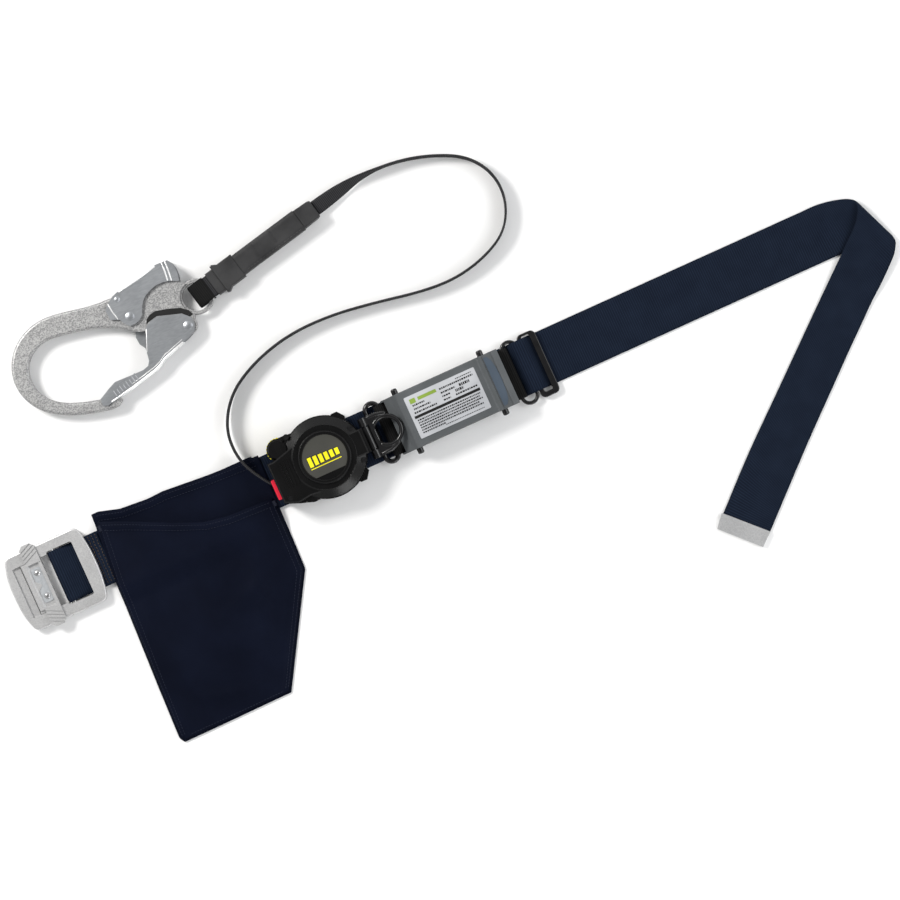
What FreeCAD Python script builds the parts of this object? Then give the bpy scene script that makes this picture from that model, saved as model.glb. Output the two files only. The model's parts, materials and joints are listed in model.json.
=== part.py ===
import FreeCAD, Part
import math
import os

# Self retracting lifeline carried on a body belt: belt with a sliding buckle, pouch, belt-mounted
# retracting reel, shock absorber, ladder adjuster, lanyard strap and scaffold hook.
# Millimetres. +X runs along the belt from the buckle to the adjuster, +Z is up from the surface
# the set lies on, and the origin lies on that surface under the axis of the reel.

Vector = FreeCAD.Vector
UP = Vector(0, 0, 1)

# ---------------------------------------------------------------- driving dimensions
BELT_WIDTH = 50.0
BELT_THICK = 2.4
STRAP_WIDTH = 15.0
STRAP_THICK = 2.0
DRUM_CAVITY_R = 34.0
REEL_R = 37.0
REAR_R = 38.0
WHEEL_AT = (-36.3, 23.6)
PAWL_PIVOT = (-39.0, 6.0)
LINK_PIN_AT = (43.5, 22.0)
LEFT_RING_WIRE = 4.5
LEFT_RING_LEG = (49.25, 6.5)
CURL_R = 3.8
RIGHT_RING_WIRE = 3.5
RIGHT_RING_Z = 5.6
LINK_RING_AT = (60.8, -0.9)
LINK_HOLE_R = 11.3
ABSORBER_Y = -1.0
ABSORBER_WIDTH = 53.0
HOOK_EYE = (-46.9, 181.1)
HOOK_MID_Z = 9.2
HOOK_EYE_R = 13.0
GATE_PIVOT = (-17.5, -21.0)
LEVER_PIVOT = (-62.0, 8.0)
GRIP_TURN = 12.35
FIT = 0.05
GAP = 0.3


# ---------------------------------------------------------------- shape helpers
def save(name, shape):
    shape.removeSplitter().exportStep("parts/" + name + ".step")


def box(x0, x1, y0, y1, z0, z1):
    return Part.makeBox(x1 - x0, y1 - y0, z1 - z0, Vector(x0, y0, z0))


def disc(x, y, z0, z1, r):
    return Part.makeCylinder(r, z1 - z0, Vector(x, y, z0))


def ring(x, y, z0, z1, outer, inner):
    return disc(x, y, z0, z1, outer).cut(disc(x, y, z0 - 1, z1 + 1, inner))


def rod_y(x, z, y0, y1, r):
    return Part.makeCylinder(r, y1 - y0, Vector(x, y0, z), Vector(0, 1, 0))


def flat_face(points):
    corners = [Vector(x, y, 0) for x, y in points]
    return Part.Face(Part.makePolygon(corners + corners[:1]))


def plate(points, z0, z1):
    face = flat_face(points)
    face.translate(Vector(0, 0, z0))
    return face.extrude(Vector(0, 0, z1 - z0))


def side_plate(points, y0, y1):
    """Plate whose outline is given as (x, z) and which runs from y0 to y1."""
    corners = [Vector(x, y0, z) for x, z in points]
    return Part.Face(Part.makePolygon(corners + corners[:1])).extrude(Vector(0, y1 - y0, 0))


def end_plate(points, x0, x1):
    """Plate whose outline is given as (y, z) and which runs from x0 to x1."""
    corners = [Vector(x0, y, z) for y, z in points]
    return Part.Face(Part.makePolygon(corners + corners[:1])).extrude(Vector(x1 - x0, 0, 0))


def curved_plate(stretches, z0, z1):
    """Plate with a closed outline of stretches: two points make a line, more make a curve."""
    edges = []
    for points in stretches:
        corners = [Vector(x, y, z0) for x, y in points]
        if len(corners) == 2:
            edges.append(Part.makeLine(corners[0], corners[1]))
        else:
            curve = Part.BSplineCurve()
            curve.interpolate(corners)
            edges.append(curve.toShape())
    return Part.Face(Part.Wire(edges)).extrude(Vector(0, 0, z1 - z0))


def rounded_box(x0, x1, y0, y1, z0, z1, r):
    block = box(x0, x1, y0, y1, z0, z1)
    uprights = [e for e in block.Edges if abs(e.tangentAt(e.FirstParameter).z) > 0.9]
    return block.makeFillet(r, uprights)


def edges_at(shape, z, least=2.0):
    """Edges that lie flat at height z."""
    found = []
    for edge in shape.Edges:
        bounds = edge.BoundBox
        if abs(bounds.ZMin - z) < 1e-4 and abs(bounds.ZMax - z) < 1e-4 and edge.Length > least:
            found.append(edge)
    return found


def soften(shape, heights, r):
    """Round the flat edges at the given heights."""
    for z in heights:
        shape = shape.makeFillet(r, edges_at(shape, z))
    return shape


def strip_outline(points, thick):
    """Closed outline of a strip whose underside runs through the (x, z) points."""
    tops = []
    for i, (x, z) in enumerate(points):
        before = points[max(i - 1, 0)]
        after = points[min(i + 1, len(points) - 1)]
        first = math.atan2(z - before[1], x - before[0]) if i else None
        last = math.atan2(after[1] - z, after[0] - x) if i < len(points) - 1 else None
        first = last if first is None else first
        last = first if last is None else last
        middle = (first + last) / 2
        reach = thick / math.cos((last - first) / 2)
        tops.append((x - reach * math.sin(middle), z + reach * math.cos(middle)))
    return list(points) + tops[::-1]


def all_of(shapes):
    return shapes[0].fuse(shapes[1:]) if len(shapes) > 1 else shapes[0]


# ---------------------------------------------------------------- belt
HALF_BELT = BELT_WIDTH / 2
STITCHED_END = -222.5
BELT_HUMP = RIGHT_RING_Z + RIGHT_RING_WIRE / 2 + GAP
CROSS_BAR_AT = (-262.5, 6.0)
FOLD_OUTLINE = [(505.0, 25.0), (522.0, 21.5), (534.9, 13.6)]


def belt_run(x0, x1):
    """Part of the belt's run between two stations; it rises over the slider's left bar."""
    run = [(-225, 0), (-219, 0), (-214, 1.1), (-62, 1.1), (-40, 2.0), (34, 2.0), (46, 0), (190.9, 0),
           (196.6, BELT_HUMP), (206.9, BELT_HUMP), (212.0, 0), (560, 0)]
    strip = side_plate(strip_outline(run, BELT_THICK), -HALF_BELT, HALF_BELT)
    end = [[(-230, 25), (505, 25)], FOLD_OUTLINE, [(534.9, 13.6), (553.9, -30.2)],
           [(553.9, -30.2), (540, -27.0), (526, -25.0)], [(526, -25.0), (-230, -25)],
           [(-230, -25), (-230, 25)]]
    return strip.common(curved_plate(end, -5, 30)).common(box(x0, x1, -60, 60, -5, 30))


def belt_buckle_loop():
    """Belt's end, wrapped round the buckle's bar and stitched back on the run."""
    bar_x, bar_z = CROSS_BAR_AT
    inner = 2.6
    outer = inner + BELT_THICK
    edges = [Part.makeLine(Vector(-225, 0, 0), Vector(-245, 0, 0)),
             Part.makeLine(Vector(-245, 0, 0), Vector(bar_x, 0, bar_z - outer)),
             Part.Arc(Vector(bar_x, 0, bar_z - outer), Vector(bar_x - outer, 0, bar_z),
                      Vector(bar_x + 1.5, 0, bar_z + 4.77)).toShape(),
             Part.makeLine(Vector(bar_x + 1.5, 0, bar_z + 4.77), Vector(-245, 0, 5.1)),
             Part.makeLine(Vector(-245, 0, 5.1), Vector(STITCHED_END, 0, 5.1)),
             Part.makeLine(Vector(STITCHED_END, 0, 5.1), Vector(STITCHED_END, 0, 2.7)),
             Part.makeLine(Vector(STITCHED_END, 0, 2.7), Vector(-245.6, 0, 2.7)),
             Part.makeLine(Vector(-245.6, 0, 2.7), Vector(bar_x + 0.8, 0, bar_z + 2.474)),
             Part.Arc(Vector(bar_x + 0.8, 0, bar_z + 2.474), Vector(bar_x - inner, 0, bar_z),
                      Vector(bar_x, 0, bar_z - inner)).toShape(),
             Part.makeLine(Vector(bar_x, 0, bar_z - inner), Vector(-245, 0, BELT_THICK)),
             Part.makeLine(Vector(-245, 0, BELT_THICK), Vector(-225, 0, BELT_THICK)),
             Part.makeLine(Vector(-225, 0, BELT_THICK), Vector(-225, 0, 0))]
    loop = Part.Face(Part.Wire(edges)).extrude(Vector(0, BELT_WIDTH, 0))
    loop.translate(Vector(0, -HALF_BELT, 0))
    return loop


def belt_tail():
    top_layer = BELT_THICK + GAP
    outline = [[(534.9, 13.6), (530.5, 1.5), (522.4, -8.5), (512.2, -15.6), (503.3, -25.2)],
               [(503.3, -25.2), (302.1, -198.4)], [(302.1, -198.4), (339.4, -229.5)],
               [(339.4, -229.5), (520.8, -67.5)],
               [(520.8, -67.5), (535.6, -55.4), (550.5, -40.2), (553.9, -30.2)],
               [(553.9, -30.2), (534.9, 13.6)]]
    # The tail lies on the run near the fold and slopes down to the floor beyond the run's edge.
    profile = strip_outline([(40, top_layer), (-31, top_layer), (-48, 0.0), (-240, 0.0)][::-1], BELT_THICK)
    return curved_plate(outline, -1, 12).common(end_plate(profile, 280, 570))


def belt_tip_ferrule():
    shell = plate([(297.5, -206.5), (307.1, -194.8), (340.4, -228.5), (328.5, -238.6)], 0.0, 4.0)
    return shell.cut(belt_tail())


# ---------------------------------------------------------------- buckle
BUCKLE_LOW = 2.0
BUCKLE_HIGH = 9.5
BUCKLE_HALF = 36.0
RAIL_INNER = 26.2
SLIDE_HALF = 23.6


def buckle_frame():
    left_side = [(-304, BUCKLE_HALF), (-309.4, 18), (-310.5, 0), (-309.4, -18), (-304, -BUCKLE_HALF)]
    right_side = [(-234, -BUCKLE_HALF), (-230, -18), (-229, 0), (-230, 18), (-234, BUCKLE_HALF)]
    top_side = [(-234, BUCKLE_HALF), (-304, BUCKLE_HALF)]
    bottom_side = [(-304, -BUCKLE_HALF), (-234, -BUCKLE_HALF)]
    frame = curved_plate([left_side, bottom_side, right_side, top_side], BUCKLE_LOW, BUCKLE_HIGH)
    uprights = [e for e in frame.Edges if abs(e.tangentAt(e.FirstParameter).z) > 0.9]
    frame = frame.makeFillet(6.0, uprights)
    frame = soften(frame, [BUCKLE_HIGH], 1.5)
    frame = soften(frame, [BUCKLE_LOW], 0.8)
    slide_room = box(-295.0, -267.0, -SLIDE_HALF - 0.35, SLIDE_HALF + 0.35, 0, 20)
    belt_window = rounded_box(-267.5, -242.5, -RAIL_INNER, RAIL_INNER, 0, 20, 2.0)
    belt_pass = box(-250, -220, -RAIL_INNER, RAIL_INNER, 0, 5.5)
    trough = box(-302, -294.9, -24.0, 24.0, 7.0, 20)
    bar_hole = rod_y(CROSS_BAR_AT[0], CROSS_BAR_AT[1], -31.0, 31.0, 2.5)
    return frame.cut([slide_room, belt_window, belt_pass, trough, bar_hole])


def buckle_cross_bar():
    return rod_y(CROSS_BAR_AT[0], CROSS_BAR_AT[1], -31.0, 31.0, 2.5)


def buckle_slide():
    body = box(-294, -274.5, -SLIDE_HALF, SLIDE_HALF, 4.0, 9.8)
    body = body.fuse(side_plate([(-294, 9.8), (-293, 12.0), (-289, 12.0), (-287, 9.8)], -21, 22))
    body = body.fuse(box(-277.5, -274.5, -SLIDE_HALF, SLIDE_HALF, 9.8, 11.6))
    gusset = plate([(-292, 0.6), (-288, 6.0), (-282, 0.6), (-288, -4.8)], 9.8, 11.0)
    upper_tab = plate([(-289, 21), (-274.5, 21), (-274.5, 36.5), (-278, 40), (-285.5, 40), (-289, 36.5)],
                      BUCKLE_HIGH + 0.3, 12.4)
    lower_tab = upper_tab.mirror(Vector(0, 0.3, 0), Vector(0, 1, 0))
    body = all_of([body, gusset, upper_tab, lower_tab])
    grooves = []
    for side in (1, -1):
        for i in range(4):
            groove = box(-300, -262, -0.6, 0.6, 11.6, 13)
            groove.rotate(Vector(-281.75, 0, 0), UP, 25 * side)
            groove.translate(Vector(0, 0.3 + side * (26.5 + 3.4 * i), 0))
            grooves.append(groove)
    return body.cut(grooves)


def buckle_grip_plate():
    cover = rounded_box(-286.8, -277.7, -16, 17, 9.8, 10.5, 1.5)
    gusset = plate([(-292, 0.6), (-288, 6.0), (-282, 0.6), (-288, -4.8)], 9.0, 12.0)
    return cover.cut(gusset)


def dome(x, y, z, r, height):
    sphere_r = (r * r + height * height) / (2 * height)
    ball = Part.makeSphere(sphere_r, Vector(x, y, z + height - sphere_r))
    return ball.common(disc(x, y, z, z + height + 1, r))


def buckle_rivets():
    return Part.makeCompound([dome(-282, 12.1, 10.5, 3.0, 1.3), dome(-282, -10.5, 10.5, 3.0, 1.3)])


# ---------------------------------------------------------------- pouch
POUCH_BACK_TOP = 5.1
POUCH_HEM = [(-213.4, 31.8), (-190.3, 22.0), (-150.0, 2.4), (-124.9, -8.3), (-59.9, -14.1)]


def pouch_belt_sleeve():
    floor = box(-214, -62, -28, 28, 0, 0.8)
    upper_wall = box(-214, -62, 25.4, 27.4, 0.8, 3.9)
    lower_wall = box(-214, -62, -27.4, -25.4, 0.8, 3.9)
    return all_of([floor, upper_wall, lower_wall])


def pouch_back():
    outline = [[(-215.9, 40.2), (-209.4, 40.3), (-190.4, 34.5), (-163.4, 32.3), (-148.4, 33.0),
                (-105.3, 29.4), (-55.8, 26.9)],
               [(-55.8, 26.9), (-59.1, -84.6)], [(-59.1, -84.6), (-117.1, -182.2)],
               [(-117.1, -182.2), (-224.1, -183.4)], [(-224.1, -183.4), (-227.2, -178.4)],
               [(-227.2, -178.4), (-221.3, -25.3), (-217.3, 24.7), (-215.9, 40.2)]]
    underside = [(-190, 0.3), (-48, 0.3), (-30, 3.9), (50, 3.9)]
    return curved_plate(outline, -1, 12).common(end_plate(strip_outline(underside, 1.2), -240, -40))


def pouch_front():
    left, right = -219.5, -61.5
    body = plate(POUCH_HEM + [(right, -84.0), (-118.5, -180.0), (-222.0, -181.0), (-224.8, -176.8),
                              (left, -25.0)], 0, 30)
    inside = plate([(-216.8, 60), (-63.0, 60), (-63.0, -83.0), (-119.5, -174.0), (-220.0, -175.0),
                    (-221.8, -160.0), (-217.2, -25.0)], 0, 30)
    top = [(50, 12.0), (-14, 14.0), (-60, 13.6), (-120, 10.0), (-165, 5.0), (-183, 2.8)]
    back = [(-183, 1.5), (-48, 1.5), (-30, 5.1), (50, 5.1)]
    shell = body.common(end_plate(top + back, -240, -40))
    hollow_top = [(60, 10.6), (-14, 12.6), (-60, 12.2), (-120, 8.6), (-165, 3.6), (-176, 2.2)]
    hollow_back = [(-176, 1.5), (-48, 1.5), (-30, 5.1), (60, 5.1)]
    hollow = inside.common(end_plate(hollow_top + hollow_back, -240, -40))
    return shell.cut(hollow)


# ---------------------------------------------------------------- retracting reel
REAR_LOW = 5.0
FLOOR_TOP = 7.5
SPLIT_Z = 21.0
CAVITY_TOP = 29.5
PAWL_LOW = 26.7
FACE_Z = 30.0
FACE_TOP = 35.5
ARM_TOP = 35.2
BOSS_TOP = 37.2
NOSE = [(-50.5, 15.5), (-50.5, -23.5), (-38.0, -28.6), (-24.7, -33.3), (0, -30), (0, 30), (-18.2, 30),
        (-44.2, 15.5)]
LOBE_R = 10.0
WHEEL_R = 11.0
SHAFT_R = 4.0
DRUM_FLANGE_R = 31.0
WOUND_R = 25.7
TEETH = 12
LEAD_ANGLE = math.radians(153.0)
SCREWS_AT = [(-43.6, -21.0), (31.5, 14.5), (31.5, -17.0), (-24.5, 31.0)]


def reel_outline(z0, z1, r):
    lobe_web = plate([(-44.2, 15.5), (-18.2, 22.3), (-25, 33), (-38, 33), (-46, 25)], z0, z1)
    lobe = disc(WHEEL_AT[0], WHEEL_AT[1], z0, z1, LOBE_R)
    return all_of([disc(0, 0, z0, z1, r), plate(NOSE, z0, z1), lobe, lobe_web])


def lead_line(distance):
    """Point on the line along which the strap runs from the drum to the mouth."""
    along = Vector(math.cos(LEAD_ANGLE), math.sin(LEAD_ANGLE), 0)
    side = Vector(-along.y, along.x, 0)
    return side * (WOUND_R + GAP + STRAP_THICK / 2) + along * distance


def lead_band(start, end, thick, z0, z1):
    a, b = lead_line(start), lead_line(end)
    side = (b - a).normalize().cross(UP) * (thick / 2)
    corners = [a + side, b + side, b - side, a - side]
    return plate([(p.x, p.y) for p in corners], z0, z1)


MOUTH_DISTANCE = 46.85
STRAP_LOW = 9.9
STRAP_HIGH = STRAP_LOW + STRAP_WIDTH


def reel_belt_plate():
    base = rounded_box(-28, 28, -33, 33, 0, 1.6, 3.0)
    walls = [box(-28, 28, 26.5, 33, 1.6, REAR_LOW), box(-28, 28, -33, -26.5, 1.6, REAR_LOW)]
    return all_of([base] + walls).common(rounded_box(-28, 28, -33, 33, 0, REAR_LOW, 3.0))


def housing_screw_holes(z0, z1, r):
    return [disc(x, y, z0, z1, r) for x, y in SCREWS_AT]


def reel_rear_housing():
    shell = reel_outline(REAR_LOW, SPLIT_Z, REAR_R)
    ears = [plate([(18, 30), (29, 22), (31, 27), (26, 33.5), (20, 33.5)], REAR_LOW, 12),
            plate([(18, -30), (29, -22), (31, -27), (26, -34), (20, -34)], REAR_LOW, 12)]
    arm = box(28, 38.2, -12.7, 10.3, REAR_LOW, SPLIT_Z)
    shell = all_of([shell, arm] + ears)
    cavity = disc(0, 0, FLOOR_TOP, SPLIT_Z + 1, DRUM_CAVITY_R)
    wheel_pocket = disc(WHEEL_AT[0], WHEEL_AT[1], 11.2, 18.0, WHEEL_R + 1)
    shaft_hole = disc(WHEEL_AT[0], WHEEL_AT[1], 8.5, SPLIT_Z + 1, 3.0 + FIT)
    channel = lead_band(0, 60, 7.0, STRAP_LOW - 0.5, SPLIT_Z + 1)
    guide_room = box(-54.5, -46.5, -18.5, 0.5, 7.5, SPLIT_Z + 1)
    spindle = disc(0, 0, REAR_LOW - 1, FLOOR_TOP + 1, SHAFT_R)
    return shell.cut([cavity, wheel_pocket, shaft_hole, channel, guide_room, spindle]
                     + housing_screw_holes(12, SPLIT_Z + 1, 1.3))


def reel_front_housing():
    base = reel_outline(SPLIT_Z, FACE_Z, REEL_R)
    cone = Part.makeCone(REEL_R, 29.5, 4.5, Vector(0, 0, FACE_Z))
    nose_face = plate([(-50.0, 15.0), (-50.0, -23.0), (-38.0, -28.0), (-24.7, -26.3), (0.3, -30.0),
                       (20.2, -21.8), (20.2, 20), (-18.2, 22.3), (-44.2, 15.0)], FACE_Z, 34.0)
    nose_face = nose_face.makeChamfer(1.2, edges_at(nose_face, 34.0))
    lobe = Part.makeCone(LOBE_R, LOBE_R - 2.0, 2.5, Vector(WHEEL_AT[0], WHEEL_AT[1], FACE_Z))
    step = Part.makeCone(29.5, 28.5, 1.0, Vector(0, 0, 34.5))
    boss = Part.makeCone(24.5, 23.5, BOSS_TOP - FACE_TOP, Vector(0, 0, FACE_TOP))
    arm = plate([(22, -12.7), (38.2, -12.7), (38.2, 10.3), (22, 10.3)], SPLIT_Z, ARM_TOP)
    arm = arm.makeChamfer(1.2, edges_at(arm, ARM_TOP))
    ribs = [box(-41.0 + 3.2 * i, -39.4 + 3.2 * i, -12, 12, 33.5, 34.7) for i in range(4)]
    ribs = [rib.cut(disc(0, 0, 30, 40, 29.0)) for rib in ribs]
    shell = all_of([base, cone, nose_face, lobe, step, boss, arm] + ribs)
    cavity = disc(0, 0, SPLIT_Z - 1, CAVITY_TOP, DRUM_CAVITY_R)
    spring_room = disc(0, 0, CAVITY_TOP - 1, 36.0, 22.6)
    sweep = [(-43.4, 6), (-44, 18), (-30, 30), (-20, 27), (-24, 10), (-36, 2.6)]
    pawl_room = all_of([disc(WHEEL_AT[0], WHEEL_AT[1], PAWL_LOW, CAVITY_TOP, 9.0),
                        disc(PAWL_PIVOT[0], PAWL_PIVOT[1], PAWL_LOW, CAVITY_TOP, 4.4),
                        plate(sweep, PAWL_LOW, CAVITY_TOP)])
    shaft_hole = disc(WHEEL_AT[0], WHEEL_AT[1], SPLIT_Z - 1, 27, 3.0 + FIT)
    channel = lead_band(0, 60, 7.0, SPLIT_Z - 1, STRAP_HIGH + 0.5)
    guide_room = box(-54.5, -46.5, -18.5, 0.5, SPLIT_Z - 1, 27.0)
    notches = [disc(-25.4, 36.5, SPLIT_Z - 1, 36, 2.2), disc(-25.6, -36.6, SPLIT_Z - 1, 36, 2.2)]
    scallop = disc(-30.5, -34.0, SPLIT_Z - 1, 36, 4.0)
    pin_hole = disc(PAWL_PIVOT[0], PAWL_PIVOT[1], 24.0, CAVITY_TOP, 1.5)
    spindle = disc(0, 0, 30, 36.6, 3.0)
    rooms = [cavity, spring_room, pawl_room, channel, guide_room, scallop]
    holes = [shaft_hole, pin_hole, spindle] + housing_screw_holes(SPLIT_Z - 1, 40, 1.3)
    return shell.cut(rooms + holes + notches + housing_screw_heads(31.4))


def housing_screw_heads(z):
    return [disc(x, y, z, 40, 2.6) for x, y in SCREWS_AT]


def housing_screws():
    screws = []
    for x, y in SCREWS_AT:
        stem = disc(x, y, 12.5, 31.4, 1.3)
        head = disc(x, y, 31.4, 33.0, 2.5).cut(box(x - 2.6, x + 2.6, y - 0.4, y + 0.4, 32.3, 34))
        screws.append(stem.fuse(head))
    return Part.makeCompound(screws)


def reel_bezel():
    bezel = ring(0, 0, BOSS_TOP, BOSS_TOP + 1.6, 23.5, 20.6)
    return bezel.makeChamfer(0.5, edges_at(bezel, BOSS_TOP + 1.6))


def reel_label_disc():
    label = disc(0, 0, BOSS_TOP, BOSS_TOP + 0.6, 20.4)
    return label.cut(box(-25, 25, -25, -14.5, BOSS_TOP - 1, BOSS_TOP + 2))


def mouth_guide():
    guide = box(-54.0, -46.5, -18.5, 0.5, 7.5, 27.0)
    guide = guide.makeFillet(1.2, [e for e in guide.Edges if abs(e.BoundBox.XMax + 54.0) < 1e-4])
    return guide.cut(lead_band(30, 60, 4.4, STRAP_LOW - 0.5, STRAP_HIGH + 0.5))


def strap_lead():
    return lead_band(1.0, MOUTH_DISTANCE, STRAP_THICK, STRAP_LOW, STRAP_HIGH)


def reel_frame_plate():
    upright = box(38.2, 40.7, -12.5, 10.5, 8.2, 24.0)
    shelf = box(38.2, LEFT_RING_LEG[0], -12.5, 10.5, 8.2, LEFT_RING_LEG[1] + CURL_R)
    curl = rod_y(LEFT_RING_LEG[0], LEFT_RING_LEG[1], -12.5, 10.5, CURL_R)
    knuckle = rod_y(LINK_PIN_AT[0], LINK_PIN_AT[1], -11.5, 9.5, 3.6)
    bridge = box(40.0, LINK_PIN_AT[0], -11.5, 9.5, 19.5, 24.0)
    steel = all_of([upright, shelf, curl, knuckle, bridge])
    ring_hole = rod_y(LEFT_RING_LEG[0], LEFT_RING_LEG[1], -20, 20, LEFT_RING_WIRE / 2 + 0.35)
    pin_hole = rod_y(LINK_PIN_AT[0], LINK_PIN_AT[1], -20, 20, 2.0 + FIT)
    return steel.cut([ring_hole, pin_hole])


def drum_shaft():
    return all_of([disc(0, 0, REAR_LOW + 0.5, 33.0, SHAFT_R), disc(0, 0, 33.0, 36.6, 3.0)])


def drum():
    hub = all_of([disc(0, 0, 8.0, 26.8, 10.0), disc(0, 0, 26.8, 32.5, 6.0),
                  disc(0, 0, 8.0, 9.5, DRUM_FLANGE_R), disc(0, 0, 25.3, 26.8, DRUM_FLANGE_R)])
    holes = []
    for i in range(6):
        angle = math.radians(60 * i)
        holes.append(disc(28.2 * math.cos(angle), 28.2 * math.sin(angle), 7, 28, 1.6))
    return hub.cut([disc(0, 0, 7, 33, SHAFT_R + FIT)] + holes)


def ratchet_wheel():
    points = []
    for i in range(TEETH):
        tip = math.radians(360.0 / TEETH * i + 1.0)
        root = tip - math.radians(1.5)
        points.append((25.5 * math.cos(root), 25.5 * math.sin(root)))
        points.append((29.0 * math.cos(tip), 29.0 * math.sin(tip)))
    return plate(points, 26.8, 29.2).cut(disc(0, 0, 26, 30, 6.0))


def wound_strap():
    return ring(0, 0, 9.8, 25.0, WOUND_R, 10.0)


def spring_case():
    cup = ring(0, 0, 29.8, 36.0, 22.6, 21.6)
    floor = ring(0, 0, 29.8, 30.4, 21.6, 7.0)
    return cup.fuse(floor)


def power_spring():
    turns = 6
    inner_r, outer_r, leaf = 8.0, 21.0, 0.5
    sides = []
    for offset in (0.0, leaf):
        points = []
        for i in range(turns * 12 + 1):
            angle = math.radians(30 * i)
            r = inner_r + (outer_r - inner_r) * i / (turns * 12) + offset
            points.append((r * math.cos(angle), r * math.sin(angle)))
        sides.append(points)
    inner, outer = sides
    return curved_plate([inner, [inner[-1], outer[-1]], outer[::-1], [outer[0], inner[0]]], 30.7, 35.0)


def lock_pawl():
    arm = plate([(-41.8, 8.0), (-35.0, 15.0), (-32.2, 18.5), (-27.5, 21.6), (-24.0, 21.0), (-25.5, 18.0),
                 (-28.3, 16.9), (-29.5, 13.5), (-36.3, 4.2)], 26.9, 29.2)
    boss = disc(PAWL_PIVOT[0], PAWL_PIVOT[1], 26.9, 29.2, 3.4)
    return boss.fuse(arm).cut(disc(PAWL_PIVOT[0], PAWL_PIVOT[1], 26, 30, 1.5 + FIT))


def pawl_pin():
    return disc(PAWL_PIVOT[0], PAWL_PIVOT[1], 24.0, CAVITY_TOP, 1.5)


def pawl_spring():
    # A wire bow in the clearance over the pawl's boss.
    x, y = PAWL_PIVOT
    return ring(x, y, 26.7, 26.85, 3.0, 1.9).cut(box(x - 5, x, y - 5, y, 26, 30))


def thumb_wheel():
    x, y = WHEEL_AT
    wheel = disc(x, y, 11.6, 17.6, WHEEL_R)
    teeth = 22
    notches = []
    for i in range(teeth):
        angle = 2 * math.pi * i / teeth
        centre = (x + (WHEEL_R + 0.5) * math.cos(angle), y + (WHEEL_R + 0.5) * math.sin(angle))
        notches.append(disc(centre[0], centre[1], 11, 19, 1.1))
    return wheel.cut(notches + [disc(x, y, 11, 19, 3.0)])


def selector_shaft():
    x, y = WHEEL_AT
    angle = math.radians(-130.4)
    cam = disc(x + 3.4 * math.cos(angle), y + 3.4 * math.sin(angle), 26.9, 29.2, 5.0)
    return disc(x, y, 8.8, 29.2, 3.0).fuse(cam)


# ---------------------------------------------------------------- attachment link
def link():
    x, y = LINK_RING_AT
    low, high = LINK_PIN_AT[1] - 2.0, LINK_PIN_AT[1] + 2.0
    web = plate([(48.0, -20.6), (56.0, -20.6), (64.0, -16.5), (71.0, -10.5), (73.0, 8.0), (65.0, 14.0),
                 (54.0, 18.4), (48.0, 18.4)], low, high)
    upper_lug = rod_y(LINK_PIN_AT[0], LINK_PIN_AT[1], 10.8, 18.4, 3.8)
    lower_lug = rod_y(LINK_PIN_AT[0], LINK_PIN_AT[1], -20.6, -13.0, 3.8)
    arms = [box(LINK_PIN_AT[0], 49.0, 10.8, 18.4, low, high),
            box(LINK_PIN_AT[0], 49.0, -20.6, -13.0, low, high)]
    body = all_of([web, upper_lug, lower_lug, disc(x, y, low, high, 14.7)] + arms)
    bore = disc(x, y, low - 1, high + 1, LINK_HOLE_R)
    knuckle_room = box(x - 20, 47.7, -12.2, 10.2, low - 1, high + 1)
    body = body.cut([bore, knuckle_room, rod_y(LINK_PIN_AT[0], LINK_PIN_AT[1], -30, 30, 2.0)])
    rims = [e for e in edges_at(body, high) if e.BoundBox.XMin > x - 15 and e.BoundBox.XLength > 20]
    return body.makeChamfer(0.6, [e for e in rims if abs(e.BoundBox.XLength - 2 * LINK_HOLE_R) < 0.1])


def link_pin():
    return rod_y(LINK_PIN_AT[0], LINK_PIN_AT[1], -20.6, 18.4, 2.0)


# ---------------------------------------------------------------- shock absorber and rings
ABSORBER_LEFT, ABSORBER_RIGHT = 65.0, 181.0
ABSORBER_LOW, ABSORBER_SPLIT = 2.8, 13.0
ABSORBER_WALL = 1.5
WEBBING_HALF = 24.5
LOOP_THICK = 1.0
LOOP_LOW = 5.0
COVER_TOP = [(68.5, 13), (75.3, 18.8), (80, 25), (83, 27), (160, 27), (161.5, 26.2), (165, 27),
             (166, 25.5), (174.5, 25.5), (175, 26.5), (181, 22), (181, 13)]
COVER_ROOM = [(71.5, 12), (77.5, 18.2), (81.8, 24.4), (82.6, 25.3), (160, 25.3), (165.5, 24.0), (173, 24.0),
              (179, 20.0), (179, 12)]
PINS_AT = (81.0, 165.7)


def absorber_base():
    y0, y1 = ABSORBER_Y - ABSORBER_WIDTH / 2, ABSORBER_Y + ABSORBER_WIDTH / 2
    body = box(ABSORBER_LEFT, ABSORBER_RIGHT, y0, y1, ABSORBER_LOW, ABSORBER_SPLIT)
    uprights = [e for e in body.Edges if abs(e.tangentAt(e.FirstParameter).z) > 0.9]
    body = body.makeFillet(1.5, uprights)
    room = box(ABSORBER_LEFT + 2, ABSORBER_RIGHT - 2, y0 + ABSORBER_WALL, y1 - ABSORBER_WALL, 4.8, 14)
    left_slot = box(60, 70, ABSORBER_Y - 25, ABSORBER_Y + 25, 3.6, 14)
    right_slot = box(175, 190, ABSORBER_Y - 25, ABSORBER_Y + 25, ABSORBER_LOW - 1, 10.5)
    return body.cut([room, left_slot, right_slot])


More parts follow.
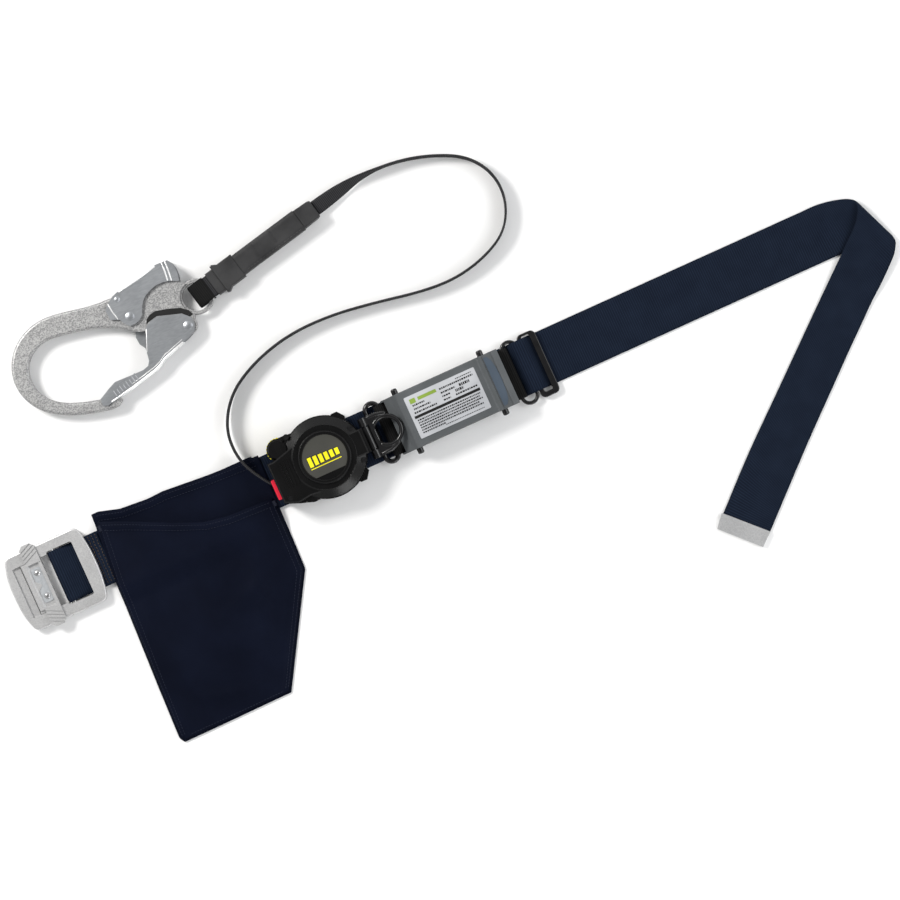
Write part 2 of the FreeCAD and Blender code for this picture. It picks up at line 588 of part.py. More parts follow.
def absorber_cover():
    y0, y1 = ABSORBER_Y - ABSORBER_WIDTH / 2, ABSORBER_Y + ABSORBER_WIDTH / 2
    body = side_plate(COVER_TOP, y0, y1)
    long_edges = [e for e in body.Edges if e.BoundBox.ZMin > 26.9 and e.BoundBox.XLength > 50]
    body = body.makeChamfer(1.2, long_edges)
    room = side_plate(COVER_ROOM, y0 + ABSORBER_WALL, y1 - ABSORBER_WALL)
    side_steps = [box(70, 176, y0 - 1, y0 + 0.5, 17.6, 18.4), box(70, 176, y1 - 0.5, y1 + 1, 17.6, 18.4)]
    pin_seats = []
    for x in PINS_AT:
        pin_seats.append(rod_y(x, 15.0, y0 - 1, y0 + ABSORBER_WALL + 1, 1.5))
        pin_seats.append(rod_y(x, 15.0, y1 - ABSORBER_WALL - 1, y1 + 1, 1.5))
    return body.cut([room] + side_steps + pin_seats)


def absorber_pins():
    y0, y1 = ABSORBER_Y - ABSORBER_WIDTH / 2, ABSORBER_Y + ABSORBER_WIDTH / 2
    pins = []
    for x in PINS_AT:
        for y, out in ((y0, -1), (y1, 1)):
            inner, outer = y - out * 1.4, y + out * 5.5
            stem = rod_y(x, 15.0, min(inner, outer), max(inner, outer), 1.5)
            head = rod_y(x, 15.0, min(y, outer), max(y, outer), 3.0)
            pins.append(stem.fuse(head.makeFillet(1.6, [e for e in head.Edges
                                                        if abs(e.BoundBox.YMin - outer) < 1e-3
                                                        and abs(e.BoundBox.YMax - outer) < 1e-3])))
    return Part.makeCompound(pins)


def absorber_label():
    return rounded_box(86, 155.5, -21, 19, 27.0, 27.3, 1.0)


def tear_webbing():
    """Webbing folded to and fro between the two loops, held by tearing stitches."""
    y0, y1 = ABSORBER_Y - WEBBING_HALF, ABSORBER_Y + WEBBING_HALF
    layers = []
    for i in range(5):
        layers.append(box(84, 164, y0, y1, 8.9 + 2.8 * i, 11.1 + 2.8 * i))
    for i in range(4):
        x0 = 162 if i % 2 else 84
        layers.append(box(x0, x0 + 2, y0, y1, 11.1 + 2.8 * i, 11.7 + 2.8 * i))
    return all_of(layers)


def webbing_loop(end_x, end_z, outer_r, out, inner_x, slope):
    """Flat webbing round a ring's leg; out is -1 for the left end and +1 for the right.

    The lower leaf rises between the two distances from the loop's end that slope gives.
    """
    y0, y1 = ABSORBER_Y - WEBBING_HALF, ABSORBER_Y + WEBBING_HALF
    inner_r = outer_r - LOOP_THICK
    near, far = end_x - out * slope[0], end_x - out * slope[1]
    closed = inner_x + out * 3
    low, high = LOOP_LOW, LOOP_LOW + 3.6
    outer_points = [(end_x, end_z + outer_r), (far, high), (inner_x, high), (inner_x, low), (far, low),
                    (near, end_z - outer_r), (end_x, end_z - outer_r)]
    inner_points = [(end_x, end_z + inner_r), (far, high - LOOP_THICK), (closed, high - LOOP_THICK),
                    (closed, low + LOOP_THICK), (far, low + LOOP_THICK), (near, end_z - inner_r),
                    (end_x, end_z - inner_r)]
    outer = side_plate(outer_points, y0, y1).fuse(rod_y(end_x, end_z, y0, y1, outer_r))
    inner = side_plate(inner_points, y0 - 1, y1 + 1).fuse(rod_y(end_x, end_z, y0 - 1, y1 + 1, inner_r))
    return outer.cut(inner)


def wire_ring(x0, x1, y0, y1, z, wire):
    """Oval ring with two straight legs along Y and round ends."""
    r = (x1 - x0 - wire) / 2
    middle = (x0 + x1) / 2
    low, high = y0 + wire / 2 + r, y1 - wire / 2 - r
    path = Part.Wire([Part.makeLine(Vector(middle - r, low, z), Vector(middle - r, high, z)),
                      Part.Arc(Vector(middle - r, high, z), Vector(middle, high + r, z),
                               Vector(middle + r, high, z)).toShape(),
                      Part.makeLine(Vector(middle + r, high, z), Vector(middle + r, low, z)),
                      Part.Arc(Vector(middle + r, low, z), Vector(middle, low - r, z),
                               Vector(middle - r, low, z)).toShape()])
    section = Part.Wire(Part.makeCircle(wire / 2, Vector(middle - r, low, z), Vector(0, 1, 0)))
    return path.makePipeShell([section], True, True)


def belt_slider():
    frame = rounded_box(201.5, 219.8, -33.3, 28.7, 3.0, 6.2, 5.0)
    window = rounded_box(206.0, 213.8, -28.3, 26.2, 0, 10, 1.5)
    frame = frame.cut(window)
    return soften(frame, [6.2], 0.9)


# ---------------------------------------------------------------- lanyard strap
# Route of the strap's middle line from the reel's mouth, round two wide bends, to the grip.
STRAP_ROUTE = [(-54.0, -2.8, 17.4), (-63.8, 10.3, 17.0), (-73.5, 32.1, 15.0), (-72.5, 60.5, 11.0),
               (-54.5, 88.0, 8.2), (-23.7, 105.2, 7.8), (14.8, 115.3, 7.8), (56.4, 115.6, 7.8),
               (98.0, 109.5, 7.8), (141.4, 100.9, 7.8), (174.0, 99.0, 7.8), (205.0, 105.5, 7.8),
               (231.5, 119.0, 7.8), (245.5, 143.5, 7.8), (245.5, 171.0, 7.8), (230.5, 195.0, 7.8),
               (203.0, 209.5, 7.8), (170.0, 218.5, 7.8), (136.0, 220.0, 7.8), (106.8, 214.8, 8.6),
               (84.0, 209.8, 9.2)]


def strap_path():
    points = [Vector(*p) for p in STRAP_ROUTE]
    edges = []
    start = points[0]
    radii = []
    for before, corner, after in zip(points, points[1:], points[2:]):
        back, ahead = before - corner, after - corner
        reach = 0.45 * min(back.Length, ahead.Length)
        half_turn = (math.pi - back.getAngle(ahead)) / 2
        radius = reach / math.tan(half_turn)
        radii.append(round(radius, 1))
        enter = corner + back.normalize() * reach
        leave = corner + ahead.normalize() * reach
        inward = (back + ahead).normalize()
        middle = corner + inward * (radius / math.cos(half_turn) - radius)
        edges.append(Part.LineSegment(start, enter).toShape())
        edges.append(Part.Arc(enter, middle, leave).toShape())
        start = leave
    edges.append(Part.LineSegment(start, points[-1]).toShape())
    print("strap bend radii, mm:", radii)
    return Part.Wire(edges)


def strap():
    path = strap_path()
    start = Vector(*STRAP_ROUTE[0])
    along = Vector(*STRAP_ROUTE[1]) - start
    along.z = 0
    side = along.normalize().cross(UP) * (STRAP_THICK / 2)
    rise = UP * (STRAP_WIDTH / 2)
    corners = [start + side + rise, start - side + rise, start - side - rise, start + side - rise]
    sweep = Part.BRepOffsetAPI.MakePipeShell(path)
    sweep.setBiNormalMode(UP)
    sweep.add(Part.makePolygon(corners + corners[:1]))
    sweep.build()
    sweep.makeSolid()
    band = sweep.shape()
    print("strap length, mm:", round(path.Length, 1), "volume over section x length:",
          round(band.Volume / (STRAP_THICK * STRAP_WIDTH * path.Length), 3))
    return band


# ---------------------------------------------------------------- grip at the hook's eye
GRIP_HALF_HEIGHT = 7.7
LOOP_HALF_WIDTH = 10.0
LOOP_INNER = 3.6


def place_grip(shape):
    """Move a shape drawn with its x along the grip and its origin at the hook's eye."""
    shape.rotate(Vector(0, 0, 0), UP, GRIP_TURN)
    shape.translate(Vector(HOOK_EYE[0], HOOK_EYE[1], HOOK_MID_Z))
    return shape


def long_fillet(shape, r):
    """Round the edges that run along x."""
    boxes = [(e, e.BoundBox) for e in shape.Edges]
    long_edges = [e for e, b in boxes if b.XLength > 4 and b.YLength < 1e-3 and b.ZLength < 1e-3]
    return shape.makeFillet(r, long_edges)


def grip_sleeve():
    core = long_fillet(box(47.5, 116, -10.5, 10.5, -GRIP_HALF_HEIGHT, GRIP_HALF_HEIGHT), 4.0)
    ridges = [box(x, x + 1.2, -4, 8, GRIP_HALF_HEIGHT - 0.2, GRIP_HALF_HEIGHT + 0.5) for x in (67.0, 87.0)]
    return place_grip(all_of([core] + ridges))


def grip_front_collar():
    outline = [(25.5, -14.0), (28.0, -14.5), (32.0, -12.0), (47.5, -12.0), (47.5, 12.0), (32.0, 12.0),
               (28.0, 14.5), (25.5, 14.0)]
    collar = plate(outline, -8.3, 8.3)
    collar = soften(collar, [8.3, -8.3], 1.5)
    return place_grip(collar.cut(loop_band(LOOP_INNER, LOOP_INNER + STRAP_THICK, 30.0)))


def grip_rear_collar():
    outline = [(116, -9.5), (131, -9.0), (134, -8.0), (134, 8.0), (131, 9.0), (116, 9.5)]
    collar = plate(outline, -7.9, 7.9)
    return place_grip(soften(collar, [7.9, -7.9], 1.5))


def loop_band(inner, outer, right):
    """Strap's end loop: two leaves joined by a round end inside the eye."""
    y0, y1 = -LOOP_HALF_WIDTH, LOOP_HALF_WIDTH
    solid = box(4.0, right, y0, y1, -outer, outer).fuse(rod_y(4.0, 0, y0, y1, outer))
    hollow = box(4.0, right + 1, y0 - 1, y1 + 1, -inner, inner).fuse(rod_y(4.0, 0, y0 - 1, y1 + 1, inner))
    return solid.cut(hollow)


def strap_end_loop():
    return place_grip(loop_band(LOOP_INNER, LOOP_INNER + STRAP_THICK, 30.0))


def loop_protector():
    outer, inner = 7.0, LOOP_INNER + STRAP_THICK
    solid = box(4.0, 14.0, -11, 11, -outer, outer).fuse(rod_y(4.0, 0, -11, 11, outer))
    hollow = box(4.0, 15.0, -12, 12, -inner, inner).fuse(rod_y(4.0, 0, -12, 12, inner))
    return place_grip(solid.cut(hollow))


def loop_keeper():
    outer = long_fillet(box(18.0, 25.4, -11.4, 11.4, -7.0, 7.0), 1.5)
    return place_grip(outer.cut(box(17, 27, -10.1, 10.1, -5.65, 5.65)))


# ---------------------------------------------------------------- scaffold hook
BODY_HALF = 5.0
EYE_HALF = 3.0
GATE_INNER, GATE_OUTER = 5.3, 6.5
LEVER_INNER, LEVER_OUTER = 6.8, 8.0
STOP_PIN_AT = (-66.5, 27.0)
SPRING_ROOM_R = 6.8


def place_hook(shape):
    """Move a shape drawn with its origin at the hook's eye."""
    shape.translate(Vector(HOOK_EYE[0], HOOK_EYE[1], HOOK_MID_Z))
    return shape


def polyline(points):
    return [list(pair) for pair in zip(points, points[1:])]


def hook_body():
    outer_bow = [(-76, 31), (-108, 35.2), (-141, 38.4), (-167, 27), (-181, 6), (-181.6, -16), (-169.5, -37.5),
                 (-144, -53.2), (-112, -61.8)]
    tip = [(-112, -61.8), (-105, -61.5), (-100, -58.5), (-100, -55.6), (-113.4, -58.7), (-113.4, -49.0),
           (-117, -49.5)]
    inner_bow = [(-117, -49.5), (-142, -41.5), (-160, -29.5), (-168, -11), (-162, 8.5), (-146, 18.6),
                 (-120, 17), (-97, 11.8), (-68, -3.5)]
    shank = [(-68, -3.5), (-60, -8), (-50, -11), (-32, -19), (-24, -26), (-12, -26), (-8, -14.5),
             (-4, 14.5), (-10, 20), (-30, 27), (-76, 31)]
    outline = [outer_bow] + polyline(tip) + [inner_bow] + polyline(shank)
    plate_body = curved_plate(outline, -BODY_HALF, BODY_HALF)
    boss = disc(GATE_PIVOT[0], GATE_PIVOT[1], -BODY_HALF, BODY_HALF, 8.2)
    plate_body = plate_body.fuse(boss).removeSplitter()
    bow_edges = [e for e in edges_at(plate_body, BODY_HALF, 40) + edges_at(plate_body, -BODY_HALF, 40)]
    plate_body = plate_body.makeFillet(2.2, bow_edges)
    eye = disc(0, 0, -EYE_HALF, EYE_HALF, 16.5)
    eye = soften(eye, [EYE_HALF, -EYE_HALF], 1.2)
    hole = disc(0, 0, -20, 20, HOOK_EYE_R)
    swing_room = disc(0, 0, EYE_HALF, 20, 15.0).fuse(disc(0, 0, -20, -EYE_HALF, 15.0))
    cuts = [hole, swing_room]
    for x, y in (GATE_PIVOT, LEVER_PIVOT):
        cuts.append(disc(x, y, -3.2, 3.2, SPRING_ROOM_R))
        cuts.append(disc(x, y, -10, 10, 2.5))
    x, y = STOP_PIN_AT
    pin_slot = plate([(x, y - 1.9), (x + 2.8, y - 1.5), (x + 2.8, y + 2.3), (x, y + 1.9)], -10, 10)
    cuts.append(all_of([disc(x, y, -10, 10, 1.9), disc(x + 2.8, y + 0.4, -10, 10, 1.9), pin_slot]))
    return place_hook(plate_body.fuse(eye).cut(cuts))


def two_leaves(front, back, inner, outer, hole_at):
    leaves = [plate(front, inner, outer), plate(back, -outer, -inner)]
    return all_of(leaves).cut(disc(hole_at[0], hole_at[1], -10, 10, 2.5 + FIT))


def gate():
    nose = [(-117.5, -55.8), (-117.5, -49.5), (-107, -44), (-99, -40.5), (-80, -41), (-71, -41.2),
            (-65.5, -39.5), (-62.8, -35.5)]
    root = [(-47, -3.5), (-40, -2), (-18, -9), (-12, -15), (-11, -21), (-14, -28), (-22, -31.5), (-50, -40),
            (-60, -45), (-113, -57.5)]
    front = nose + [(-61.6, -28), (-53, -7)] + root
    back = nose + [(-62, -23), (-65.3, -18), (-65.9, -11), (-63.5, -4.5)] + root
    leaves = two_leaves(front, back, GATE_INNER, GATE_OUTER, GATE_PIVOT)
    spine = plate([(-110.2, -56.85), (-60, -45), (-50, -40), (-28, -33.3), (-27.4, -31.2), (-49.2, -37.8),
                   (-59.4, -42.8), (-109.8, -54.6)], -GATE_OUTER, GATE_OUTER)
    grip_ribs = []
    for i in range(8):
        rib = box(-0.6, 0.6, -4.5, 3.5, GATE_OUTER, GATE_OUTER + 0.5)
        rib.rotate(Vector(0, 0, 0), UP, 13)
        rib.translate(Vector(-103 + 3.4 * i, -49.5 + 0.8 * i, 0))
        grip_ribs.append(rib)
    return place_hook(all_of([leaves, spine] + grip_ribs))


def safety_lever():
    leaf = [(-80, 22), (-75.5, 26.6), (-69, 31), (-62, 33.4), (-40, 37.2), (-22, 41.2), (-10.5, 40.7),
            (-7.6, 37), (-6.4, 31), (-6.6, 25), (-8.1, 18.8), (-16.3, 22.6), (-22, 24), (-29.3, 24),
            (-36, 22), (-41, 19.6), (-45.5, 15.6), (-48.6, 11), (-51, 5), (-55, 1.6), (-60, 0), (-65.6, 0),
            (-69.1, 3.8), (-71.6, 9), (-79.5, 12.5)]
    leaves = two_leaves(leaf, leaf, LEVER_INNER, LEVER_OUTER, LEVER_PIVOT)
    spine = plate([(-62, 33.4), (-40, 37.2), (-22, 41.2), (-10.5, 40.7), (-10.5, 38.7), (-22, 39.2),
                   (-39.6, 35.2), (-61.6, 31.7)], -LEVER_OUTER, LEVER_OUTER)
    ridges = [box(x, x + 1.4, 36.6, 40.4, LEVER_OUTER - 0.1, LEVER_OUTER + 0.6) for x in (-17, -14.2)]
    pin_hole = disc(STOP_PIN_AT[0], STOP_PIN_AT[1], -10, 10, 1.5)
    return place_hook(all_of([leaves, spine] + ridges).cut(pin_hole))


def headed_rivet(at, reach, r, head_r):
    x, y = at
    stem = disc(x, y, -reach, reach, r)
    upper = dome(x, y, reach, head_r, 0.9)
    lower = upper.mirror(Vector(0, 0, 0), UP)
    return place_hook(all_of([stem, upper, lower]))


def lever_stop_pin():
    x, y = STOP_PIN_AT
    head = dome(x, y, LEVER_OUTER, 2.7, 0.8)
    return place_hook(all_of([disc(x, y, -LEVER_OUTER, LEVER_OUTER, 1.5), head,
                              head.mirror(Vector(0, 0, 0), UP)]))


def torsion_spring(at):
    """Closely wound torsion spring round a pivot."""
    x, y = at
    coils = [ring(x, y, -2.9 + 1.2 * i, -2.9 + 1.2 * i + 1.0, 5.2, 4.0) for i in range(5)]
    ties = [box(x + 4.1, x + 5.0, y - 0.4, y + 0.4, -2.9, 2.9)]
    return place_hook(all_of(coils + ties))


os.makedirs("parts", exist_ok=True)
save("waist_belt", belt_run(-225, 188))
save("belt_buckle_loop", belt_buckle_loop())
save("belt_outer_run", belt_run(188, 560))
save("belt_tail", belt_tail())
save("belt_tip_ferrule", belt_tip_ferrule())
save("buckle_frame", buckle_frame())
save("buckle_cross_bar", buckle_cross_bar())
save("buckle_slide", buckle_slide())
save("buckle_grip_plate", buckle_grip_plate())
save("buckle_rivets", buckle_rivets())
save("pouch_belt_sleeve", pouch_belt_sleeve())
save("pouch_back", pouch_back())
save("pouch_front", pouch_front())
save("reel_belt_plate", reel_belt_plate())
save("reel_rear_housing", reel_rear_housing())
save("reel_front_housing", reel_front_housing())
save("housing_screws", housing_screws())
save("reel_bezel", reel_bezel())
save("reel_label_disc", reel_label_disc())
save("mouth_guide", mouth_guide())
save("strap_lead", strap_lead())
save("reel_frame_plate", reel_frame_plate())
save("drum_shaft", drum_shaft())
save("drum", drum())
save("ratchet_wheel", ratchet_wheel())
save("wound_strap", wound_strap())
save("spring_case", spring_case())
save("power_spring", power_spring())
save("lock_pawl", lock_pawl())
save("pawl_pin", pawl_pin())
save("pawl_spring", pawl_spring())
save("thumb_wheel", thumb_wheel())
save("selector_shaft", selector_shaft())
save("link", link())
save("link_pin", link_pin())
save("absorber_base", absorber_base())
save("absorber_cover", absorber_cover())
save("absorber_pins", absorber_pins())
save("absorber_label", absorber_label())
save("tear_webbing", tear_webbing())
save("webbing_loop_left", webbing_loop(61.75, 7.2, 4.5, -1, 74.0, (0.5, 6.0)))
save("webbing_loop_right", webbing_loop(186.6, RIGHT_RING_Z, 3.1, 1, 167.0, (4.6, 11.0)))
save("oval_ring_left", wire_ring(47.0, 64.0, -31.0, 30.0, LEFT_RING_LEG[1], LEFT_RING_WIRE))
save("oval_ring_right", wire_ring(183.0, 201.0, -34.0, 29.0, RIGHT_RING_Z, RIGHT_RING_WIRE))
save("belt_slider", belt_slider())
save("strap", strap())
save("strap_end_loop", strap_end_loop())
save("loop_protector", loop_protector())
save("loop_keeper", loop_keeper())
save("grip_front_collar", grip_front_collar())
save("grip_sleeve", grip_sleeve())
save("grip_rear_collar", grip_rear_collar())
save("hook_body", hook_body())
save("gate", gate())
save("gate_rivet", headed_rivet(GATE_PIVOT, GATE_OUTER + FIT, 2.5, 4.2))
save("gate_spring", torsion_spring(GATE_PIVOT))
save("safety_lever", safety_lever())
save("lever_rivet", headed_rivet(LEVER_PIVOT, LEVER_OUTER + FIT, 2.5, 4.2))
save("lever_stop_pin", lever_stop_pin())
save("lever_spring", torsion_spring(LEVER_PIVOT))
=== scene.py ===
import json
import math
import random
from functools import partial

import bpy
from mathutils import Matrix, Vector


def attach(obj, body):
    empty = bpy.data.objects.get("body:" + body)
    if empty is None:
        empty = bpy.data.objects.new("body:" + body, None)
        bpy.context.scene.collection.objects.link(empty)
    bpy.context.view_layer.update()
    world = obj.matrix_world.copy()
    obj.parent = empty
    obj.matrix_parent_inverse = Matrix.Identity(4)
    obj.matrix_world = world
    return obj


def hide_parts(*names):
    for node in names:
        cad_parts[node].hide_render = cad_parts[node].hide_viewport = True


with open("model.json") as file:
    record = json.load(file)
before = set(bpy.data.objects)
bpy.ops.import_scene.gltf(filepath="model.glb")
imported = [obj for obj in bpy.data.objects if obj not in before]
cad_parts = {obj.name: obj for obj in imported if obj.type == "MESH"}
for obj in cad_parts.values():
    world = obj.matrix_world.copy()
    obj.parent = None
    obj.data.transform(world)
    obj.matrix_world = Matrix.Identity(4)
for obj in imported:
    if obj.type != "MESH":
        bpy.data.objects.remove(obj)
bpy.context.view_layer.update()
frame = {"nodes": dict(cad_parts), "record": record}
MM = 0.001
TURN = 2 * math.pi
UP = Vector((0, 0, 1))
ROOT = "belt_set"
random.seed(7)


# ------------------------ camera, light and floor
PICTURE_TURN = math.radians(24.35)
PICTURE_CENTRE = Vector((0.1054, -0.0407, 0.0))
PICTURE_WIDTH = 0.820
CAMERA_HEIGHT = 3.0
CAMERA_REACH = 20.0
SENSOR = 36.0
# Name, place, size, power and colour of each lamp.
LAMPS = [("key", (-0.85, 1.15, 1.35), 0.6, 30.0, (1.0, 0.985, 0.96)),
         ("fill", (1.5, -0.3, 1.3), 1.2, 12.0, (0.96, 0.98, 1.0)),
         ("rim", (0.3, -1.6, 0.9), 0.8, 8.0, (1.0, 1.0, 1.0))]
# Brightness of the sky at its sides and straight above, and the heights where it changes.
SIDE_GLOW, TOP_GLOW = (1.02, 1.02, 1.02), (0.28, 0.28, 0.28)
SIDE_UP_TO, TOP_FROM = 0.45, 0.92
# Strength of the sky beyond the picture's top edge and beyond its bottom edge.
BACK_GLOW, FRONT_GLOW = 1.2, 0.72
FLOOR_REACH = 4.0
FLOOR_DROP = 0.0002
FLOOR_WHITE = (0.90, 0.90, 0.90)
FLOOR_SHADE = 0.985
FLOOR_ROUGH = 0.9


def add_object(name, data):
    obj = bpy.data.objects.new(name, data)
    bpy.context.scene.collection.objects.link(obj)
    return obj


def make_camera():
    camera = add_object("camera", bpy.data.cameras.new("camera"))
    camera.data.sensor_width = SENSOR
    camera.data.lens = SENSOR * CAMERA_HEIGHT / PICTURE_WIDTH
    camera.data.clip_end = CAMERA_REACH
    camera.location = PICTURE_CENTRE + UP * CAMERA_HEIGHT
    camera.rotation_euler = (0, 0, -PICTURE_TURN)
    bpy.context.scene.camera = camera


def make_lamp(name, place, size, power, colour):
    lamp = add_object(name, bpy.data.lights.new(name, "AREA"))
    lamp.data.shape = "DISK"
    lamp.data.size = size
    lamp.data.energy = power
    lamp.data.color = colour
    lamp.location = place
    lamp.rotation_euler = (PICTURE_CENTRE - Vector(place)).to_track_quat("-Z", "Y").to_euler()


def make_sky():
    """Soft light all round, brighter from the sides and from beyond the picture's top edge."""
    world = bpy.data.worlds.new("studio")
    world.use_nodes = True
    nodes, links = world.node_tree.nodes, world.node_tree.links
    background = nodes["Background"]
    place = nodes.new("ShaderNodeTexCoord")
    split = nodes.new("ShaderNodeSeparateXYZ")
    links.new(place.outputs["Generated"], split.inputs["Vector"])
    glow = add_ramp(nodes, links, split.outputs["Z"], SIDE_GLOW, TOP_GLOW, SIDE_UP_TO, TOP_FROM)
    links.new(glow, background.inputs["Color"])
    towards = nodes.new("ShaderNodeVectorMath")
    towards.operation = "DOT_PRODUCT"
    towards.inputs[1].default_value = (math.sin(PICTURE_TURN), math.cos(PICTURE_TURN), 0)
    links.new(place.outputs["Generated"], towards.inputs[0])
    add_range(nodes, links, towards.outputs["Value"], background.inputs["Strength"],
              FRONT_GLOW, BACK_GLOW, start=-1.0)
    bpy.context.scene.world = world


def make_floor():
    mesh = bpy.data.meshes.new("floor")
    corners = [(x * FLOOR_REACH, y * FLOOR_REACH, -FLOOR_DROP)
               for x, y in ((-1, -1), (1, -1), (1, 1), (-1, 1))]
    mesh.from_pydata(corners, [], [(0, 1, 2, 3)])
    floor = add_object("floor", mesh)
    floor.data.materials.append(floor_material())


def make_studio():
    for lamp in LAMPS:
        make_lamp(*lamp)
    make_sky()
    bpy.context.scene.view_settings.view_transform = "Standard"
    make_floor()


# ------------------------ materials
# Woven webbing: height of ribs and yarns, share of height and of mottling in the tone, and relief.
# The height's share in the tone is painted shade, darker in the weave's hollows.
RIB_HEIGHT, YARN_HEIGHT, MIDDLE_HEIGHT = 0.32, 0.14, 0.5
HEIGHT_TONE, MOTTLE_TONE = 0.7, 0.35
WEBBING_ROUGH = 0.82
WEBBING_BUMP = (0.55, 0.00035)
# Pouch cloth: distance between threads in metres, share of the weave in tone and height, relief.
# The weave's share in the tone is painted shade, darker where the weave dips.
THREAD_PITCH = 0.0009
WEAVE_TONE, WEAVE_HEIGHT = 0.10, 0.08
CLOTH_ROUGH = 0.62
CLOTH_BUMP = (0.35, 0.0012)
CLOTH_SHINE = 0.06
PLASTIC_GRAIN_DEPTH = 0.0003
METAL_GRAIN_DEPTH = 0.0002
# Where the tone's noise turns from the first colour into the last.
WEBBING_RAMP, CLOTH_RAMP = (0.15, 0.85), (0.3, 0.75)
# Noise as scale and detail, and a stretch for scuffs.
FLOOR_PATCHES, PLASTIC_PATCHES = (40.0, 3.0), (35.0, 5.0)
WEBBING_MOTTLING, CLOTH_MOTTLING = (60.0, 5.0), (22.0, 6.0)
PLASTIC_GRAIN_DETAIL, METAL_GRAIN_DETAIL = 2.0, 3.0
SCUFFS, CLOUDS = (160.0, 8.0, (1, 0.25, 1)), (45.0, 6.0)
# How far scuffs and clouds take the roughness below and above its own value.
SCUFFED, CLOUDED = (-0.08, 0.10), (-0.06, 0.08)


def new_material(name):
    material = bpy.data.materials.new(name)
    material.use_nodes = True
    nodes = material.node_tree.nodes
    return material, nodes, material.node_tree.links, nodes["Principled BSDF"]


def add_noise(nodes, links, scale, detail, stretch=(1, 1, 1)):
    place = nodes.new("ShaderNodeTexCoord")
    turn = nodes.new("ShaderNodeMapping")
    turn.inputs["Scale"].default_value = stretch
    noise = nodes.new("ShaderNodeTexNoise")
    noise.inputs["Scale"].default_value = scale
    noise.inputs["Detail"].default_value = detail
    links.new(place.outputs["Object"], turn.inputs["Vector"])
    links.new(turn.outputs["Vector"], noise.inputs["Vector"])
    return noise.outputs["Fac"]


def add_ramp(nodes, links, factor, first, last, low=0.35, high=0.65):
    """Colour that goes from the first to the last as the factor goes from low to high."""
    ramp = nodes.new("ShaderNodeValToRGB")
    for stop, place, colour in zip(ramp.color_ramp.elements, (low, high), (first, last)):
        stop.position = place
        stop.color = (*colour, 1)
    links.new(factor, ramp.inputs["Fac"])
    return ramp.outputs["Color"]


def add_range(nodes, links, factor, socket, low, high, start=0.0):
    """Feed a socket a value from low to high as the factor goes from start to 1."""
    spread = nodes.new("ShaderNodeMapRange")
    spread.inputs["From Min"].default_value = start
    spread.inputs["To Min"].default_value = low
    spread.inputs["To Max"].default_value = high
    links.new(factor, spread.inputs["Value"])
    links.new(spread.outputs["Result"], socket)


def add_bump(nodes, links, height, shader, strength, distance):
    bump = nodes.new("ShaderNodeBump")
    bump.inputs["Strength"].default_value = strength
    bump.inputs["Distance"].default_value = distance
    links.new(height, bump.inputs["Height"])
    links.new(bump.outputs["Normal"], shader.inputs["Normal"])


def math_node(nodes, links, operation, *values):
    node = nodes.new("ShaderNodeMath")
    node.operation = operation
    for socket, value in zip(node.inputs, values):
        if isinstance(value, (int, float)):
            socket.default_value = value
        else:
            links.new(value, socket)
    return node.outputs[0]


def weave_map(nodes, links):
    """Metres along and across the cloth, from the piece's own map."""
    uv = nodes.new("ShaderNodeUVMap")
    uv.uv_map = "weave"
    split = nodes.new("ShaderNodeSeparateXYZ")
    links.new(uv.outputs["UV"], split.inputs["Vector"])
    return split.outputs["X"], split.outputs["Y"]


def floor_material():
    material, nodes, links, shader = new_material("floor_white")
    shader.inputs["Roughness"].default_value = FLOOR_ROUGH
    patches = add_noise(nodes, links, *FLOOR_PATCHES)
    shade = [FLOOR_SHADE * part for part in FLOOR_WHITE]
    links.new(add_ramp(nodes, links, patches, FLOOR_WHITE, shade), shader.inputs["Base Color"])
    return material


def webbing_material(name, dark, light, rib, yarn):
    """Woven strap: ribs across it and yarns along it, each given as a distance in metres."""
    material, nodes, links, shader = new_material(name)
    calc = partial(math_node, nodes, links)
    along, across = weave_map(nodes, links)
    rib_wave = calc("SINE", calc("MULTIPLY", along, TURN / rib))
    row = calc("FLOOR", calc("MULTIPLY", along, 1 / rib))
    shift = calc("MULTIPLY", row, math.pi)
    yarn_wave = calc("SINE", calc("ADD", calc("MULTIPLY", across, TURN / yarn), shift))
    relief = calc("ADD", calc("MULTIPLY", rib_wave, RIB_HEIGHT),
                  calc("MULTIPLY", yarn_wave, YARN_HEIGHT))
    mottling = add_noise(nodes, links, *WEBBING_MOTTLING)
    height = calc("ADD", relief, MIDDLE_HEIGHT)
    # Painted shade: the tone follows the weave's height, darker in its hollows and lighter on its
    # ribs, plus mottling.
    tone = calc("ADD", calc("MULTIPLY", height, HEIGHT_TONE),
                calc("MULTIPLY", mottling, MOTTLE_TONE))
    links.new(add_ramp(nodes, links, tone, dark, light, *WEBBING_RAMP), shader.inputs["Base Color"])
    add_bump(nodes, links, height, shader, *WEBBING_BUMP)
    shader.inputs["Roughness"].default_value = WEBBING_ROUGH
    shader.inputs["Specular IOR Level"].default_value = CLOTH_SHINE
    return material


def cloth_material(name, dark, light):
    """Fine plain-woven nylon with soft mottling."""
    material, nodes, links, shader = new_material(name)
    calc = partial(math_node, nodes, links)
    warp, weft = [calc("SINE", calc("MULTIPLY", way, TURN / THREAD_PITCH))
                  for way in weave_map(nodes, links)]
    weave = calc("MULTIPLY", warp, weft)
    soft = add_noise(nodes, links, *CLOTH_MOTTLING)
    # Painted shade: the tone follows the weave's height, darker where it dips, plus soft mottling.
    tone = calc("ADD", calc("MULTIPLY", weave, WEAVE_TONE), soft)
    links.new(add_ramp(nodes, links, tone, dark, light, *CLOTH_RAMP), shader.inputs["Base Color"])
    height = calc("ADD", calc("MULTIPLY", weave, WEAVE_HEIGHT), soft)
    add_bump(nodes, links, height, shader, *CLOTH_BUMP)
    shader.inputs["Roughness"].default_value = CLOTH_ROUGH
    shader.inputs["Specular IOR Level"].default_value = CLOTH_SHINE
    return material


